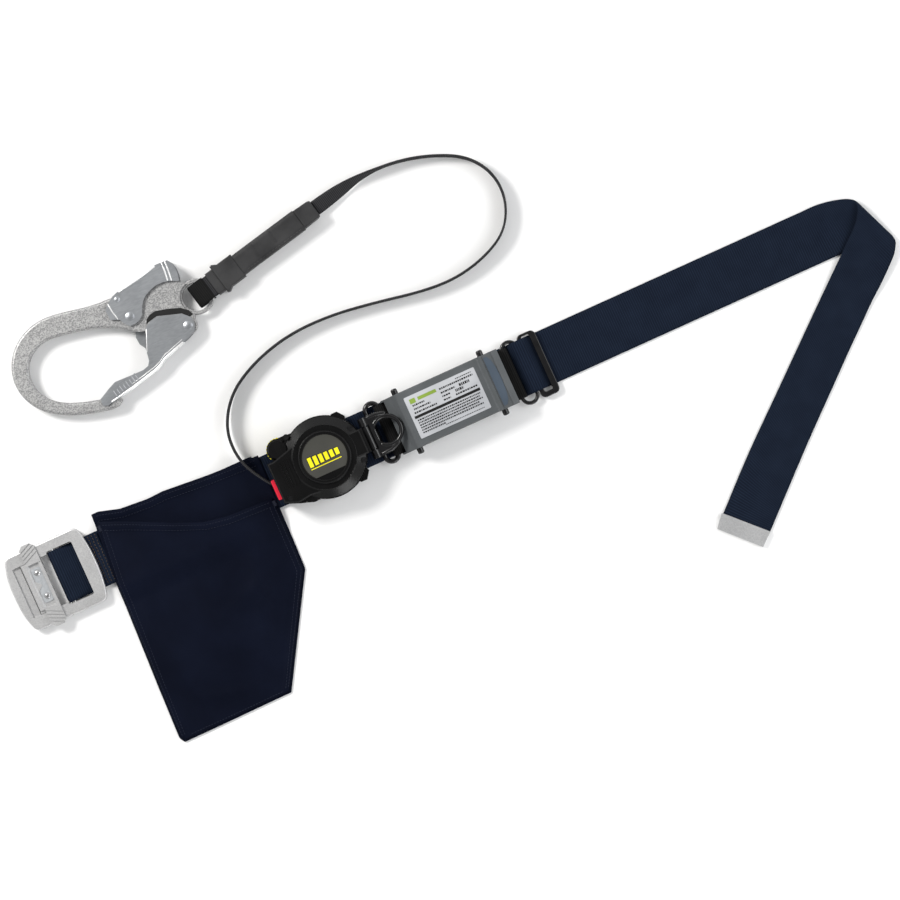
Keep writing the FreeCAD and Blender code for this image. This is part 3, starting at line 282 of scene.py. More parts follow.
def plastic_material(name, dark, light, rough, grain=900.0, relief=0.18, coat=0.0, shine=0.3):
    """Moulded plastic or thread: slow patches of tone, fine grain and scuffs in the gloss."""
    material, nodes, links, shader = new_material(name)
    patches = add_noise(nodes, links, *PLASTIC_PATCHES)
    links.new(add_ramp(nodes, links, patches, dark, light), shader.inputs["Base Color"])
    fine = add_noise(nodes, links, grain, PLASTIC_GRAIN_DETAIL)
    add_bump(nodes, links, fine, shader, relief, PLASTIC_GRAIN_DEPTH)
    scuffs = add_noise(nodes, links, *SCUFFS)
    gloss = [rough + part for part in SCUFFED]
    add_range(nodes, links, scuffs, shader.inputs["Roughness"], *gloss)
    shader.inputs["Coat Weight"].default_value = coat
    shader.inputs["Specular IOR Level"].default_value = shine
    return material


def metal_material(name, dark, light, rough, metallic, scale, relief=0.15, stretch=(1, 1, 1),
                   low=0.35, high=0.65):
    """Metal: grain in tone and relief, which a stretch turns into brushing, and clouded gloss."""
    material, nodes, links, shader = new_material(name)
    shader.inputs["Metallic"].default_value = metallic
    grain = add_noise(nodes, links, scale, METAL_GRAIN_DETAIL, stretch)
    tone = add_ramp(nodes, links, grain, dark, light, low, high)
    links.new(tone, shader.inputs["Base Color"])
    add_bump(nodes, links, grain, shader, relief, METAL_GRAIN_DEPTH)
    clouds = add_noise(nodes, links, *CLOUDS)
    gloss = [rough + part for part in CLOUDED]
    add_range(nodes, links, clouds, shader.inputs["Roughness"], *gloss)
    return material


# Name, darkest and lightest colour, then the distances between ribs and between yarns.
WEBBINGS = [
    ("navy_webbing", (0.0024, 0.0042, 0.0100), (0.0112, 0.0178, 0.0335), 0.0021, 0.0011),
    ("strap_webbing", (0.010, 0.010, 0.011), (0.050, 0.050, 0.053), 0.0016, 0.0012),
    ("black_webbing", (0.003, 0.003, 0.003), (0.015, 0.015, 0.015), 0.0018, 0.0012),
]
CLOTHS = [("pouch_cloth", (0.0010, 0.0021, 0.0076), (0.0027, 0.0046, 0.0136))]
# Name, darkest and lightest colour, roughness, and what differs from plain plastic.
PLASTICS = [
    ("black_plastic", (0.0018, 0.0018, 0.0019), (0.0036, 0.0036, 0.0037), 0.26, {"shine": 0.24}),
    ("absorber_grey", (0.070, 0.076, 0.080), (0.092, 0.099, 0.104), 0.40, {}),
    ("recess_blue", (0.052, 0.070, 0.094), (0.064, 0.084, 0.112), 0.45, {}),
    ("red_plastic", (0.60, 0.010, 0.030), (0.74, 0.016, 0.045), 0.32, {"coat": 0.3}),
    ("yellow_plastic", (0.76, 0.68, 0.012), (0.88, 0.80, 0.02), 0.35, {"coat": 0.2}),
    ("label_grey", (0.042, 0.042, 0.036), (0.052, 0.051, 0.044), 0.50, {}),
    # Light grey for the strokes across the gate's ribs, which are painted highlights.
    ("label_silver", (0.36, 0.37, 0.39), (0.47, 0.48, 0.50), 0.40, {}),
    ("label_green", (0.15, 0.23, 0.03), (0.22, 0.32, 0.05), 0.42, {}),
    ("grip_grey", (0.012, 0.012, 0.013), (0.030, 0.030, 0.031), 0.55,
     {"grain": 500.0, "relief": 0.5}),
    # Black for printed marks, and also for the painted shadow in the gate's slot.
    ("ink_and_shadow_black", (0.004, 0.004, 0.004), (0.008, 0.008, 0.008), 0.5, {}),
    ("thread_navy", (0.006, 0.009, 0.022), (0.013, 0.017, 0.034), 0.7, {}),
    ("thread_brown", (0.045, 0.028, 0.013), (0.10, 0.062, 0.028), 0.7, {}),
    ("thread_grey", (0.03, 0.03, 0.03), (0.07, 0.07, 0.07), 0.7, {}),
]
# Name, darkest and lightest colour, roughness, metallic share, fineness of grain, and what differs.
METALS = [
    ("black_steel", (0.003, 0.003, 0.0035), (0.006, 0.006, 0.0065), 0.20, 0.0, 120.0,
     {"relief": 0.05}),
    ("buckle_aluminium", (0.52, 0.52, 0.525), (0.62, 0.62, 0.62), 0.42, 0.80, 900.0, {}),
    ("blue_grey_plate", (0.42, 0.44, 0.46), (0.50, 0.52, 0.54), 0.40, 0.5, 400.0, {}),
    ("zinc_steel", (0.50, 0.50, 0.50), (0.60, 0.60, 0.595), 0.34, 0.95, 200.0, {}),
    ("galvanised_steel", (0.225, 0.225, 0.229), (0.47, 0.47, 0.467), 0.48, 0.75, 820.0,
     {"relief": 0.45, "low": 0.37, "high": 0.63}),
    ("satin_steel", (0.34, 0.355, 0.375), (0.40, 0.415, 0.435), 0.36, 0.85, 900.0,
     {"stretch": (0.2, 1, 1)}),
    # Light steel for the beads along the hook's folds and ribs, which are painted highlights.
    ("bright_steel", (0.78, 0.78, 0.775), (0.86, 0.86, 0.855), 0.30, 0.55, 700.0, {}),
    ("spring_steel", (0.35, 0.35, 0.36), (0.5, 0.5, 0.5), 0.30, 1.0, 300.0, {}),
]


def make_materials():
    """Every material by its slot's name; Blender numbers the names that the CAD's file has too."""
    made = [webbing_material(*row) for row in WEBBINGS]
    made += [cloth_material(*row) for row in CLOTHS]
    made += [plastic_material(*row[:-1], **row[-1]) for row in PLASTICS]
    made += [metal_material(*row[:-1], **row[-1]) for row in METALS]
    return {material.name.split(".")[0]: material for material in made}


# ------------------------ mesh helpers
# A selvedge: share of the strap's thickness at its very edge, how far in it's rounded, and the low
# bead beside it as height, distance from the edge and width.
EDGE_SHARE = 0.35
EDGE_ROUND = 0.9 * MM
BEAD_HEIGHT, BEAD_FROM_EDGE, BEAD_WIDTH = 0.16, 1.6 * MM, 0.8 * MM
SIDE_STEP = 0.0009
STITCH_SIDES, STITCH_RINGS = 6, 5
# Stitches in millimetres, as pitch, length, radius and lift off the surface.
BELT_THREAD, GRIP_THREAD = (3.2, 2.0, 0.3, 0.12), (3.4, 2.3, 0.26, 0.05)
POUCH_THREAD, TACK_THREAD = (2.8, 2.0, 0.22, 0.0), (4.0, 3.4, 0.22, 0.1)
# Domed end of a bar: shares of the radius, as distance past the end and as the ring's own radius.
DOME = [(0.94, 0.35), (0.66, 0.75)]
INK_THICK = 0.1


def clamp(value):
    return min(1.0, max(0.0, value))


def ease(value):
    """Smooth step from 0 to 1."""
    t = clamp(value)
    return t * t * (3 - 2 * t)


def add_mesh(name, points, faces, material, uvs=None, smooth=True, body=ROOT):
    mesh = bpy.data.meshes.new(name)
    mesh.from_pydata([tuple(p) for p in points], [], faces)
    mesh.validate()
    if uvs:
        layer = mesh.uv_layers.new(name="weave")
        for loop in mesh.loops:
            layer.data[loop.index].uv = uvs[loop.vertex_index]
    mesh.polygons.foreach_set("use_smooth", [smooth] * len(mesh.polygons))
    mesh.materials.append(MATERIALS[material])
    obj = add_object(name, mesh)
    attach(obj, body)
    return obj


def tube_faces(base, rings, sides):
    """Faces of a closed tube whose rings of points follow one another from a first index."""
    faces = []
    for i in range(rings - 1):
        for k in range(sides):
            m = (k + 1) % sides
            faces.append((base + i * sides + k, base + i * sides + m,
                          base + (i + 1) * sides + m, base + (i + 1) * sides + k))
    faces.append(tuple(base + k for k in range(sides))[::-1])
    faces.append(tuple(base + (rings - 1) * sides + k for k in range(sides)))
    return faces


def direction(line, i):
    """Way a line of points runs at one of them, from its neighbour before to the one after."""
    return line[min(i + 1, len(line) - 1)] - line[max(i - 1, 0)]


def extended(line):
    """A line of points with one more added straight on at each end."""
    return [line[0] * 2 - line[1]] + line + [line[-1] * 2 - line[-2]]


def smooth_line(points, step):
    """Even points along a centripetal curve that runs through the given points."""
    ends = extended(points)
    result = []
    for i in range(1, len(ends) - 2):
        p0, p1, p2, p3 = ends[i - 1:i + 3]
        gaps = [max((b - a).length, 1e-6) ** 0.5 for a, b in ((p0, p1), (p1, p2), (p2, p3))]
        t0, t1 = 0.0, gaps[0]
        t2 = t1 + gaps[1]
        t3 = t2 + gaps[2]
        count = max(1, round((p2 - p1).length / step))
        for k in range(count):
            t = t1 + (t2 - t1) * k / count
            a1 = p0 * ((t1 - t) / (t1 - t0)) + p1 * ((t - t0) / (t1 - t0))
            a2 = p1 * ((t2 - t) / (t2 - t1)) + p2 * ((t - t1) / (t2 - t1))
            a3 = p2 * ((t3 - t) / (t3 - t2)) + p3 * ((t - t2) / (t3 - t2))
            b1 = a1 * ((t2 - t) / (t2 - t0)) + a2 * ((t - t0) / (t2 - t0))
            b2 = a2 * ((t3 - t) / (t3 - t1)) + a3 * ((t - t1) / (t3 - t1))
            result.append(b1 * ((t2 - t) / (t2 - t1)) + b2 * ((t - t1) / (t2 - t1)))
    result.append(points[-1])
    return result


def selvedge(from_edge):
    """Share of a strap's thickness at a distance from its edge."""
    full = min(1.0, EDGE_SHARE + (1 - EDGE_SHARE) * math.sqrt(min(1.0, from_edge / EDGE_ROUND)))
    return full + BEAD_HEIGHT * math.exp(-((from_edge - BEAD_FROM_EDGE) / BEAD_WIDTH) ** 2)


def ribbon(name, left, right, thick, material, across=12):
    """Webbing between two edge lines, with rounded selvedges and both ends closed."""
    width = (right[0] - left[0]).length
    shares = [j / across for j in range(across + 1)]
    lines = [[a.lerp(b, share) for a, b in zip(left, right)] for share in shares]
    half = [thick / 2 * selvedge(min(share, 1 - share) * width) for share in shares]
    spots = [share * width for share in shares]
    middle = [(a + b) / 2 for a, b in zip(left, right)]
    length = 0.0
    points, uvs, faces = [], [], []
    for i in range(len(left)):
        if i:
            length += (middle[i] - middle[i - 1]).length
        side = (right[i] - left[i]).normalized()
        top, bottom = [], []
        for line, lift in zip(lines, half):
            normal = side.cross(direction(line, i)).normalized()
            top.append(line[i] + normal * lift)
            bottom.append(line[i] - normal * lift)
        points += top + bottom[::-1]
        uvs += [(length, v) for v in spots + spots[::-1]]
    ring = 2 * len(shares)
    for base in range(0, len(points) - ring, ring):
        for j in range(ring):
            k = (j + 1) % ring
            faces.append((base + j, base + ring + j, base + ring + k, base + k))
    faces.append(tuple(range(ring)))
    faces.append(tuple(range(len(points) - ring, len(points)))[::-1])
    return add_mesh(name, points, faces, material, uvs)


def side_ribbon(name, route, edges, thick, material, place=Matrix.Identity(4)):
    """Webbing whose middle line is an (x, z) route and whose edges lie at two values of y."""
    line = smooth_line([Vector((x, 0, z)) * MM for x, z in route], SIDE_STEP)
    left, right = [[place @ (p + Vector((0, y * MM, 0))) for p in line] for y in edges]
    return ribbon(name, left, right, thick * MM, material)


def stitch_mesh(name, lines, material, slot, pitch, length, radius, lift):
    """Rows of separate stitches lying on a surface. Each line is a list of (point, normal)."""
    points, faces = [], []
    for line in lines:
        travelled = 0.0
        target = pitch * MM / 2
        for (a, normal_a), (b, normal_b) in zip(line, line[1:]):
            gap = (b - a).length
            while gap > 1e-9 and travelled + gap >= target:
                t = (target - travelled) / gap
                normal = normal_a.lerp(normal_b, t).normalized()
                along = (b - a).normalized()
                side = along.cross(normal).normalized()
                centre = a.lerp(b, t) + normal * (lift * MM)
                faces += tube_faces(len(points), STITCH_RINGS, STITCH_SIDES)
                for i in range(STITCH_RINGS):
                    s = -1 + 2 * i / (STITCH_RINGS - 1)
                    r = radius * MM * math.sqrt(max(0.06, 1 - s * s))
                    for k in range(STITCH_SIDES):
                        angle = TURN * k / STITCH_SIDES
                        points.append(centre + along * (s * length * MM / 2)
                                      + side * (r * math.cos(angle))
                                      + normal * (r * math.sin(angle)))
                target += pitch * MM
            travelled += gap
    return add_mesh(name, points, faces, material)


def bead(name, lines, radius, material, body, sides=10):
    """Round bars along lines of points in millimetres, with domed ends."""
    points, faces = [], []
    for raw in lines:
        line = [Vector(p) for p in raw]
        first, last = direction(line, 0).normalized(), direction(line, len(line) - 1).normalized()
        rings = [(line[0] - first * radius * past, first, radius * share) for past, share in DOME]
        rings += [(here, direction(line, i).normalized(), radius) for i, here in enumerate(line)]
        rings += [(line[-1] + last * radius * past, last, radius * share)
                  for past, share in DOME[::-1]]
        faces += tube_faces(len(points), len(rings), sides)
        for centre, along, r in rings:
            side = along.cross(UP).normalized()
            up = side.cross(along).normalized()
            for k in range(sides):
                angle = TURN * k / sides
                points.append((centre + (side * math.cos(angle) + up * math.sin(angle)) * r) * MM)
    return add_mesh(name, points, faces, material, body=body)


def rim_bead(name, height, ring_r, wire_r, material, count=96, sides=8):
    """A round bar bent to a full ring about the drum's axis."""
    points, faces = [], []
    for i in range(count):
        a = TURN * i / count
        for k in range(sides):
            b = TURN * k / sides
            r = ring_r + wire_r * math.cos(b)
            z = height + wire_r * math.sin(b)
            points.append(Vector((r * math.cos(a), r * math.sin(a), z)) * MM)
            j, m = (i + 1) % count, (k + 1) % sides
            faces.append((i * sides + k, j * sides + k, j * sides + m, i * sides + m))
    return add_mesh(name, points, faces, material)


def flat_bars(name, bars, material):
    """Printed marks: each bar is (x0, x1, y0, y1, z) in millimetres."""
    points, faces = [], []
    for x0, x1, y0, y1, z in bars:
        base = len(points)
        for top in (z, z + INK_THICK):
            corners = ((x0, y0), (x1, y0), (x1, y1), (x0, y1))
            points += [Vector((x, y, top)) * MM for x, y in corners]
        faces += [(base, base + 3, base + 2, base + 1), (base + 4, base + 5, base + 6, base + 7)]
        for k in range(4):
            m = (k + 1) % 4
            faces.append((base + k, base + m, base + 4 + m, base + 4 + k))
    return add_mesh(name, points, faces, material, smooth=False)


def flat_plate(name, outline, low, high, material, body=ROOT):
    """Thin flat plate with an (x, y) outline in millimetres, from one height to another."""
    count = len(outline)
    area = sum(x0 * y1 - x1 * y0 for (x0, y0), (x1, y1) in zip(outline, outline[1:] + outline[:1]))
    corners = outline if area > 0 else outline[::-1]
    points = [Vector((x, y, z)) * MM for z in (low, high) for x, y in corners]
    faces = [tuple(range(count))[::-1], tuple(range(count, 2 * count))]
    for i in range(count):
        j = (i + 1) % count
        faces.append((i, j, count + j, count + i))
    return add_mesh(name, points, faces, material, smooth=False, body=body)


# ------------------------ lanyard strap
# The same route as the strap's CAD solid, in metres.
STRAP_ROUTE = [
    (-0.054, -0.0028, 0.0174), (-0.0638, 0.0103, 0.017), (-0.0735, 0.0321, 0.015),
    (-0.0725, 0.0605, 0.011), (-0.0545, 0.088, 0.0082), (-0.0237, 0.1052, 0.0078),
    (0.0148, 0.1153, 0.0078), (0.0564, 0.1156, 0.0078), (0.098, 0.1095, 0.0078),
    (0.1414, 0.1009, 0.0078), (0.174, 0.099, 0.0078), (0.205, 0.1055, 0.0078),
    (0.2315, 0.119, 0.0078), (0.2455, 0.1435, 0.0078), (0.2455, 0.171, 0.0078),
    (0.2305, 0.195, 0.0078), (0.203, 0.2095, 0.0078), (0.17, 0.2185, 0.0078), (0.136, 0.22, 0.0078),
    (0.1068, 0.2148, 0.0086), (0.084, 0.2098, 0.0092),
]
CURVE_POINTS = 24
STRAP_HALF = 0.0074
STRAP_THICK = 0.0018
# The strap stands on its edge and turns this far towards lying flat over its last stretch.
FLAT_OVER = 0.075
FLAT_TURN = math.radians(66)


def strap_line():
    """Points along the quadratic spline whose poles are the strap's route."""
    curve = bpy.data.curves.new("strap_line", "CURVE")
    curve.dimensions = "3D"
    curve.resolution_u = CURVE_POINTS
    spline = curve.splines.new("NURBS")
    spline.points.add(len(STRAP_ROUTE) - 1)
    for point, place in zip(spline.points, STRAP_ROUTE):
        point.co = (*place, 1.0)
    spline.order_u = 3
    spline.use_endpoint_u = True
    holder = add_object("strap_line", curve)
    bpy.context.view_layer.update()
    mesh = bpy.data.meshes.new_from_object(holder)
    line = [v.co.copy() for v in mesh.vertices]
    bpy.data.objects.remove(holder)
    bpy.data.meshes.remove(mesh)
    return line


def make_strap():
    line = strap_line()
    lengths = [0.0]
    for a, b in zip(line, line[1:]):
        lengths.append(lengths[-1] + (b - a).length)
    flat_from = lengths[-1] - FLAT_OVER
    left, right = [], []
    for i, point in enumerate(line):
        level = direction(line, i).normalized().cross(UP).normalized()
        turn = ease((lengths[i] - flat_from) / FLAT_OVER) * FLAT_TURN
        across = (UP * math.cos(turn) + level * math.sin(turn)) * STRAP_HALF
        left.append(point + across)
        right.append(point - across)
    strap = ribbon("lanyard_strap", left, right, STRAP_THICK, "strap_webbing", 10)
    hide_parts("strap")


# ------------------------ belt
# Middle line of the belt as (x, z), from the stitched end round the buckle's bar and out.
BELT_SIDE = [
    (-219, 4.0), (-226, 4.0), (-236, 4.0), (-245, 4.2), (-252, 6.0), (-258, 8.9), (-262.5, 10.1),
    (-265.9, 8.4), (-266.6, 5.6), (-264.4, 2.6), (-260, 1.7), (-252, 1.4), (-245, 1.25),
    (-236, 1.2), (-226, 1.2), (-219, 1.3), (-212, 2.2), (-200, 2.3), (-150, 2.3), (-100, 2.3),
    (-66, 2.3), (-50, 2.7), (-38, 3.2), (-20, 3.2), (10, 3.2), (34, 3.2), (45, 1.4), (56, 1.3),
    (90, 1.3), (140, 1.3), (180, 1.3), (189.4, 1.6), (193.2, 5.0), (196.4, 8.5), (201.5, 9.1),
    (206.2, 8.6), (209.3, 4.9), (212.4, 1.6), (217, 1.2), (240, 1.2), (290, 1.2), (340, 1.2),
    (390, 1.2), (440, 1.2),
]
# Stations of the folded end: upper or inner edge, then lower or outer edge.
BELT_FOLD = [
    ((480, 25, 1.2), (480, -25, 1.2)), ((505, 24.6, 1.3), (511, -25.2, 1.2)),
    ((520, 21.6, 1.9), (534, -26.2, 1.2)), ((529.5, 18.0, 3.4), (546, -27.6, 1.3)),
    ((534.0, 14.2, 6.2), (552.4, -30.0, 2.4)), ((534.0, 8.6, 8.8), (553.0, -34.0, 4.2)),
    ((530.5, 1.5, 8.6), (549.8, -41.0, 4.8)), ((522.6, -8.3, 7.0), (537.0, -54.4, 4.2)),
    ((513.4, -16.2, 5.4), (524.5, -65.2, 3.0)), ((503.3, -25.2, 4.3), (511.0, -76.0, 1.8)),
    ((489, -37.5, 3.0), (497, -88.2, 1.3)), ((470, -53.8, 1.6), (477, -105.4, 1.2)),
    ((440, -79.6, 1.2), (447.6, -131.4, 1.2)), ((400, -114.1, 1.2), (408, -166.4, 1.2)),
    ((350, -157.2, 1.2), (366, -205.0, 1.2)), ((304.0, -200.0, 1.3), (337.0, -231.8, 1.3)),
]
BELT_THICK = 1.9
HALF_BELT = 25.0
BELT_STEP = 0.0022
# Stitched end: place along the belt of each row, its height, its half width and its zigzag.
SEAM_ROWS = (-221.0, -224.5, -228.0)
SEAM_TOP = 5.0
SEAM_HALF = 23
SEAM_POINTS = 40
SEAM_SWAY = 0.5


def tangent_at(before, here, after):
    """Direction of a smooth curve at a point, weighted towards the nearer neighbour."""
    a, b = here - before, after - here
    total = a.length + b.length
    return a / a.length * (b.length / total) + b / b.length * (a.length / total)


def smooth_edge(points, counts):
    """A smooth curve through the points, with a given count of steps from each to the next."""
    ends = extended(points)
    line = []
    for i, count in enumerate(counts):
        p0, p1, p2, p3 = ends[i:i + 4]
        span = (p2 - p1).length
        m1 = tangent_at(p0, p1, p2) * span
        m2 = tangent_at(p1, p2, p3) * span
        for k in range(count):
            t = k / count
            line.append(p1 * (2 * t ** 3 - 3 * t ** 2 + 1) + m1 * (t ** 3 - 2 * t ** 2 + t)
                        + p2 * (-2 * t ** 3 + 3 * t ** 2) + m2 * (t ** 3 - t ** 2))
    return line + [points[-1]]


def make_belt():
    edges = [[Vector((x, y, z)) * MM for x, z in BELT_SIDE] for y in (HALF_BELT, -HALF_BELT)]
    for edge, folded in zip(edges, zip(*BELT_FOLD)):
        edge += [Vector(p) * MM for p in folded]
    middle = [(a + b) / 2 for a, b in zip(*edges)]
    counts = [max(1, round((b - a).length / BELT_STEP)) for a, b in zip(middle, middle[1:])]
    left, right = [smooth_edge(edge, counts) for edge in edges]
    belt = ribbon("belt_webbing", left, right, BELT_THICK * MM, "navy_webbing", 16)
    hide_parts("waist_belt", "belt_buckle_loop", "belt_outer_run", "belt_tail")
    rows = []
    for x in SEAM_ROWS:
        places = [(x + SEAM_SWAY * (i % 2), SEAM_HALF * (2 * i / SEAM_POINTS - 1), SEAM_TOP)
                  for i in range(SEAM_POINTS + 1)]
        rows.append([(Vector(place) * MM, UP) for place in places])
    stitch_mesh("belt_stitches", rows, "thread_brown", "navy_webbing", *BELT_THREAD)


# ------------------------ pouch
# Outlines in millimetres, each edge from left to right or from bottom to top.
BACK_EDGES = {
    "bottom": [(-224.1, -183.4), (-190, -183.2), (-150, -182.6), (-117.1, -182.2)],
    "top": [(-215.9, 40.2), (-209.4, 40.3), (-190.4, 34.5), (-163.4, 32.3), (-148.4, 33.0),
            (-105.3, 29.4), (-55.8, 26.9)],
    "left": [(-224.1, -183.4), (-227.2, -178.4), (-225.6, -130), (-221.3, -25.3), (-217.3, 24.7),
             (-215.9, 40.2)],
    "right": [(-117.1, -182.2), (-88.1, -133.4), (-59.1, -84.6), (-57.4, -28.9), (-55.8, 26.9)],
}
FRONT_EDGES = {
    "bottom": [(-222.2, -181.2), (-190, -181.0), (-150, -180.5), (-118.5, -180.0)],
    "top": [(-213.4, 31.8), (-190.3, 22.0), (-150.0, 2.4), (-124.9, -8.3), (-104.0, -12.2),
            (-59.9, -14.1)],
    "left": [(-222.2, -181.2), (-224.9, -176.8), (-223.6, -130), (-219.5, -25.0), (-213.4, 31.8)],
    "right": [(-118.5, -180.0), (-90.0, -132.0), (-61.4, -84.0), (-60.6, -50.0), (-59.9, -14.1)],
}
# Soft folds of the front: one end, the other end, height and spread.
FRONT_FOLDS = [
    ((-214, -20), (-196, -172), 1.5, 7.0), ((-150, -4), (-140, -150), 1.3, 16.0),
    ((-84, -20), (-128, -160), 1.6, 9.0), ((-206, -150), (-130, -172), 1.2, 6.0),
    ((-182, 8), (-216, -90), 1.0, 9.0), ((-72, -70), (-150, -96), 0.9, 8.0),
]
# Slow waves of soft cloth: height, waves along x and y in radians per millimetre, and start.
CREASES = [(0.55, 0.055, 0.021, 0.6), (0.4, 0.021, -0.049, 0.0), (0.28, 0.11, 0.083, 1.9)]
# What the pouch lies on: its height over the ground, and the step up on to the belt.
BACK_LOW, BACK_STEP = 1.0, 3.5
STEP_FROM, STEP_OVER = -50.0, 20.0
BACK_CLEAR, BACK_CREASE = 0.30, 0.22
# Above the belt the back panel stands a little off it.
STAND_FROM, STAND_OVER, STAND_HEIGHT = 10, 30, 1.6
# The front's seams lie on the back, and between them it's full, most of all at the mouth.
FRONT_CLEAR, FRONT_CREASE = 1.15, 0.9
MOUTH_FULL, BELLY_FULL = 8.2, 1.5
SIDE_POWER, MOUTH_POWER, BELLY_POWER = 0.55, 1.15, 0.7
# Creases fade out over a sixth of the back at each edge and over a fifth of the front at its foot.
BACK_FADE, FRONT_FADE = 6, 5
BACK_GRID, FRONT_GRID = (60, 84), (70, 96)
CLOTH_THICK = 0.8
# Width of the hem and of the seams, what each adds to the thickness, and how softly they end.
HEM, SEAM = 7.5, 7.0
HEM_FOLD, SEAM_FOLD, FOLD_SOFT = 0.75, 0.5, 0.35
# Share of the cloth's thickness at its very edge, and how fast it grows from there.
THIN_EDGE, THIN_OVER = 0.45, 1.6
SLEEVE_ROUTE = [
    (27.2, 3.9), (28.3, 3.3), (28.5, 2.0), (27.6, 0.8), (25.5, 0.55), (10, 0.5), (-10, 0.5),
    (-25.5, 0.55), (-27.6, 0.8), (-28.5, 2.0), (-28.3, 3.3), (-27.2, 3.9),
]
SLEEVE_ENDS = (-0.214, -0.062)
SLEEVE_THICK = 0.0007
SLEEVE_STEP = 0.002
# Stitch lines by their shares across and up the cloth, and their lift in millimetres.
ROW_ENDS, SIDE_ENDS = (0.02, 0.98), (0.02, 0.985)
FRONT_HEM_ROWS, BACK_HEM_ROWS, FOOT_ROW = (0.9855, 0.961), (0.985, 0.963), 0.012
SIDE_ROWS = (0.010, 0.034, 0.990, 0.966)
HEM_LIFT, SIDE_LIFT, FOOT_LIFT = 1.15, 0.9, 0.5
LINE_POINTS = 90
# Bar tacks at the mouth's ends: places, rows, distance between them, lift and half length.
TACKS = ((0.012, 0.985), (0.988, 0.985))
TACK_ROWS, TACK_PITCH, TACK_LIFT, TACK_HALF = 9, 0.0006, 0.0010, 0.004


def along_line(points, t):
    """Point at a share t of a broken line's length."""
    gaps = [(Vector(b) - Vector(a)).length for a, b in zip(points, points[1:])]
    left = t * sum(gaps)
    for a, b, gap in zip(points, points[1:], gaps):
        if left <= gap:
            return Vector(a).lerp(Vector(b), left / gap)
        left -= gap
    return Vector(points[-1])


def patch_point(edges, u, v):
    """Point in the plane of a four-sided patch, u from left to right and v from bottom to top."""
    low, high = along_line(edges["bottom"], u), along_line(edges["top"], u)
    left, right = along_line(edges["left"], v), along_line(edges["right"], v)
    low_left, low_right = [along_line(edges["bottom"], end) for end in (0, 1)]
    top_left, top_right = [along_line(edges["top"], end) for end in (0, 1)]
    corners = ((1 - u) * (1 - v) * low_left + u * (1 - v) * low_right
               + (1 - u) * v * top_left + u * v * top_right)
    return (1 - v) * low + v * high + (1 - u) * left + u * right - corners


def belt_step(y):
    """Height of what the pouch lies on: the belt at the top, and the ground below it."""
    return BACK_LOW + BACK_STEP * ease((y - STEP_FROM) / STEP_OVER)


def creases(p):
    """Height of the slow waves at a place, in millimetres."""
    return sum(height * math.sin(p.x * a + p.y * b + start) for height, a, b, start in CREASES)


def ridge(place, first, last, height, spread):
    """A soft fold along a line, fading out towards both ends."""
    line = Vector(last) - Vector(first)
    to = place - Vector(first)
    t = to.dot(line) / line.length_squared
    if t < 0 or t > 1:
        return 0.0
    off = (to - line * t).length / spread
    return height * math.sin(math.pi * t) * math.exp(-off * off)


def back_point(u, v):
    p = patch_point(BACK_EDGES, u, v)
    inner = min(1.0, BACK_FADE * min(u, 1 - u)) * min(1.0, BACK_FADE * min(v, 1 - v))
    z = belt_step(p.y) + BACK_CLEAR + BACK_CREASE * (creases(p) + 1.0) * inner
    if p.y > STAND_FROM:
        bow = math.sin(math.pi * min(1.0, u * 1.1)) ** 0.5
        z += STAND_HEIGHT * ((p.y - STAND_FROM) / STAND_OVER) ** 2 * bow
    return Vector((p.x, p.y, z)) * MM


def front_point(u, v):
    p = patch_point(FRONT_EDGES, u, v)
    side = math.sin(math.pi * u) ** SIDE_POWER if 0 < u < 1 else 0.0
    seam = belt_step(p.y) + FRONT_CLEAR
    mouth = MOUTH_FULL * clamp(v) ** MOUTH_POWER
    belly = BELLY_FULL * math.sin(math.pi * min(1.0, v * 1.02)) ** BELLY_POWER
    folds = sum(ridge(p, *fold) for fold in FRONT_FOLDS)
    soft = min(1.0, FRONT_FADE * v) * (FRONT_CREASE * creases(p) + folds)
    z = seam + side * (mouth + belly + soft)
    return Vector((p.x, p.y, max(z, seam))) * MM


def surface_frame(surface, u, v):
    """Place and normal of a surface at (u, v)."""
    step = 0.004
    du = surface(min(1, u + step), v) - surface(max(0, u - step), v)
    dv = surface(u, min(1, v + step)) - surface(u, max(0, v - step))
    return surface(u, v), du.cross(dv).normalized()


def edge_spaced(count):
    """Shares from 0 to 1 that lie closer together near both ends."""
    fine = [0.0, 0.004, 0.012, 0.022, 0.034, 0.045, 0.054, 0.066]
    span = 1 - 2 * fine[-1]
    middle = [fine[-1] + span * i / count for i in range(1, count)]
    return fine + middle + [1 - f for f in fine[::-1]]


def folded_over(distance, width, height):
    """Extra thickness of a fold of cloth, which ends softly at its width from the edge."""
    return height / (1 + math.exp((distance - width) / FOLD_SOFT))


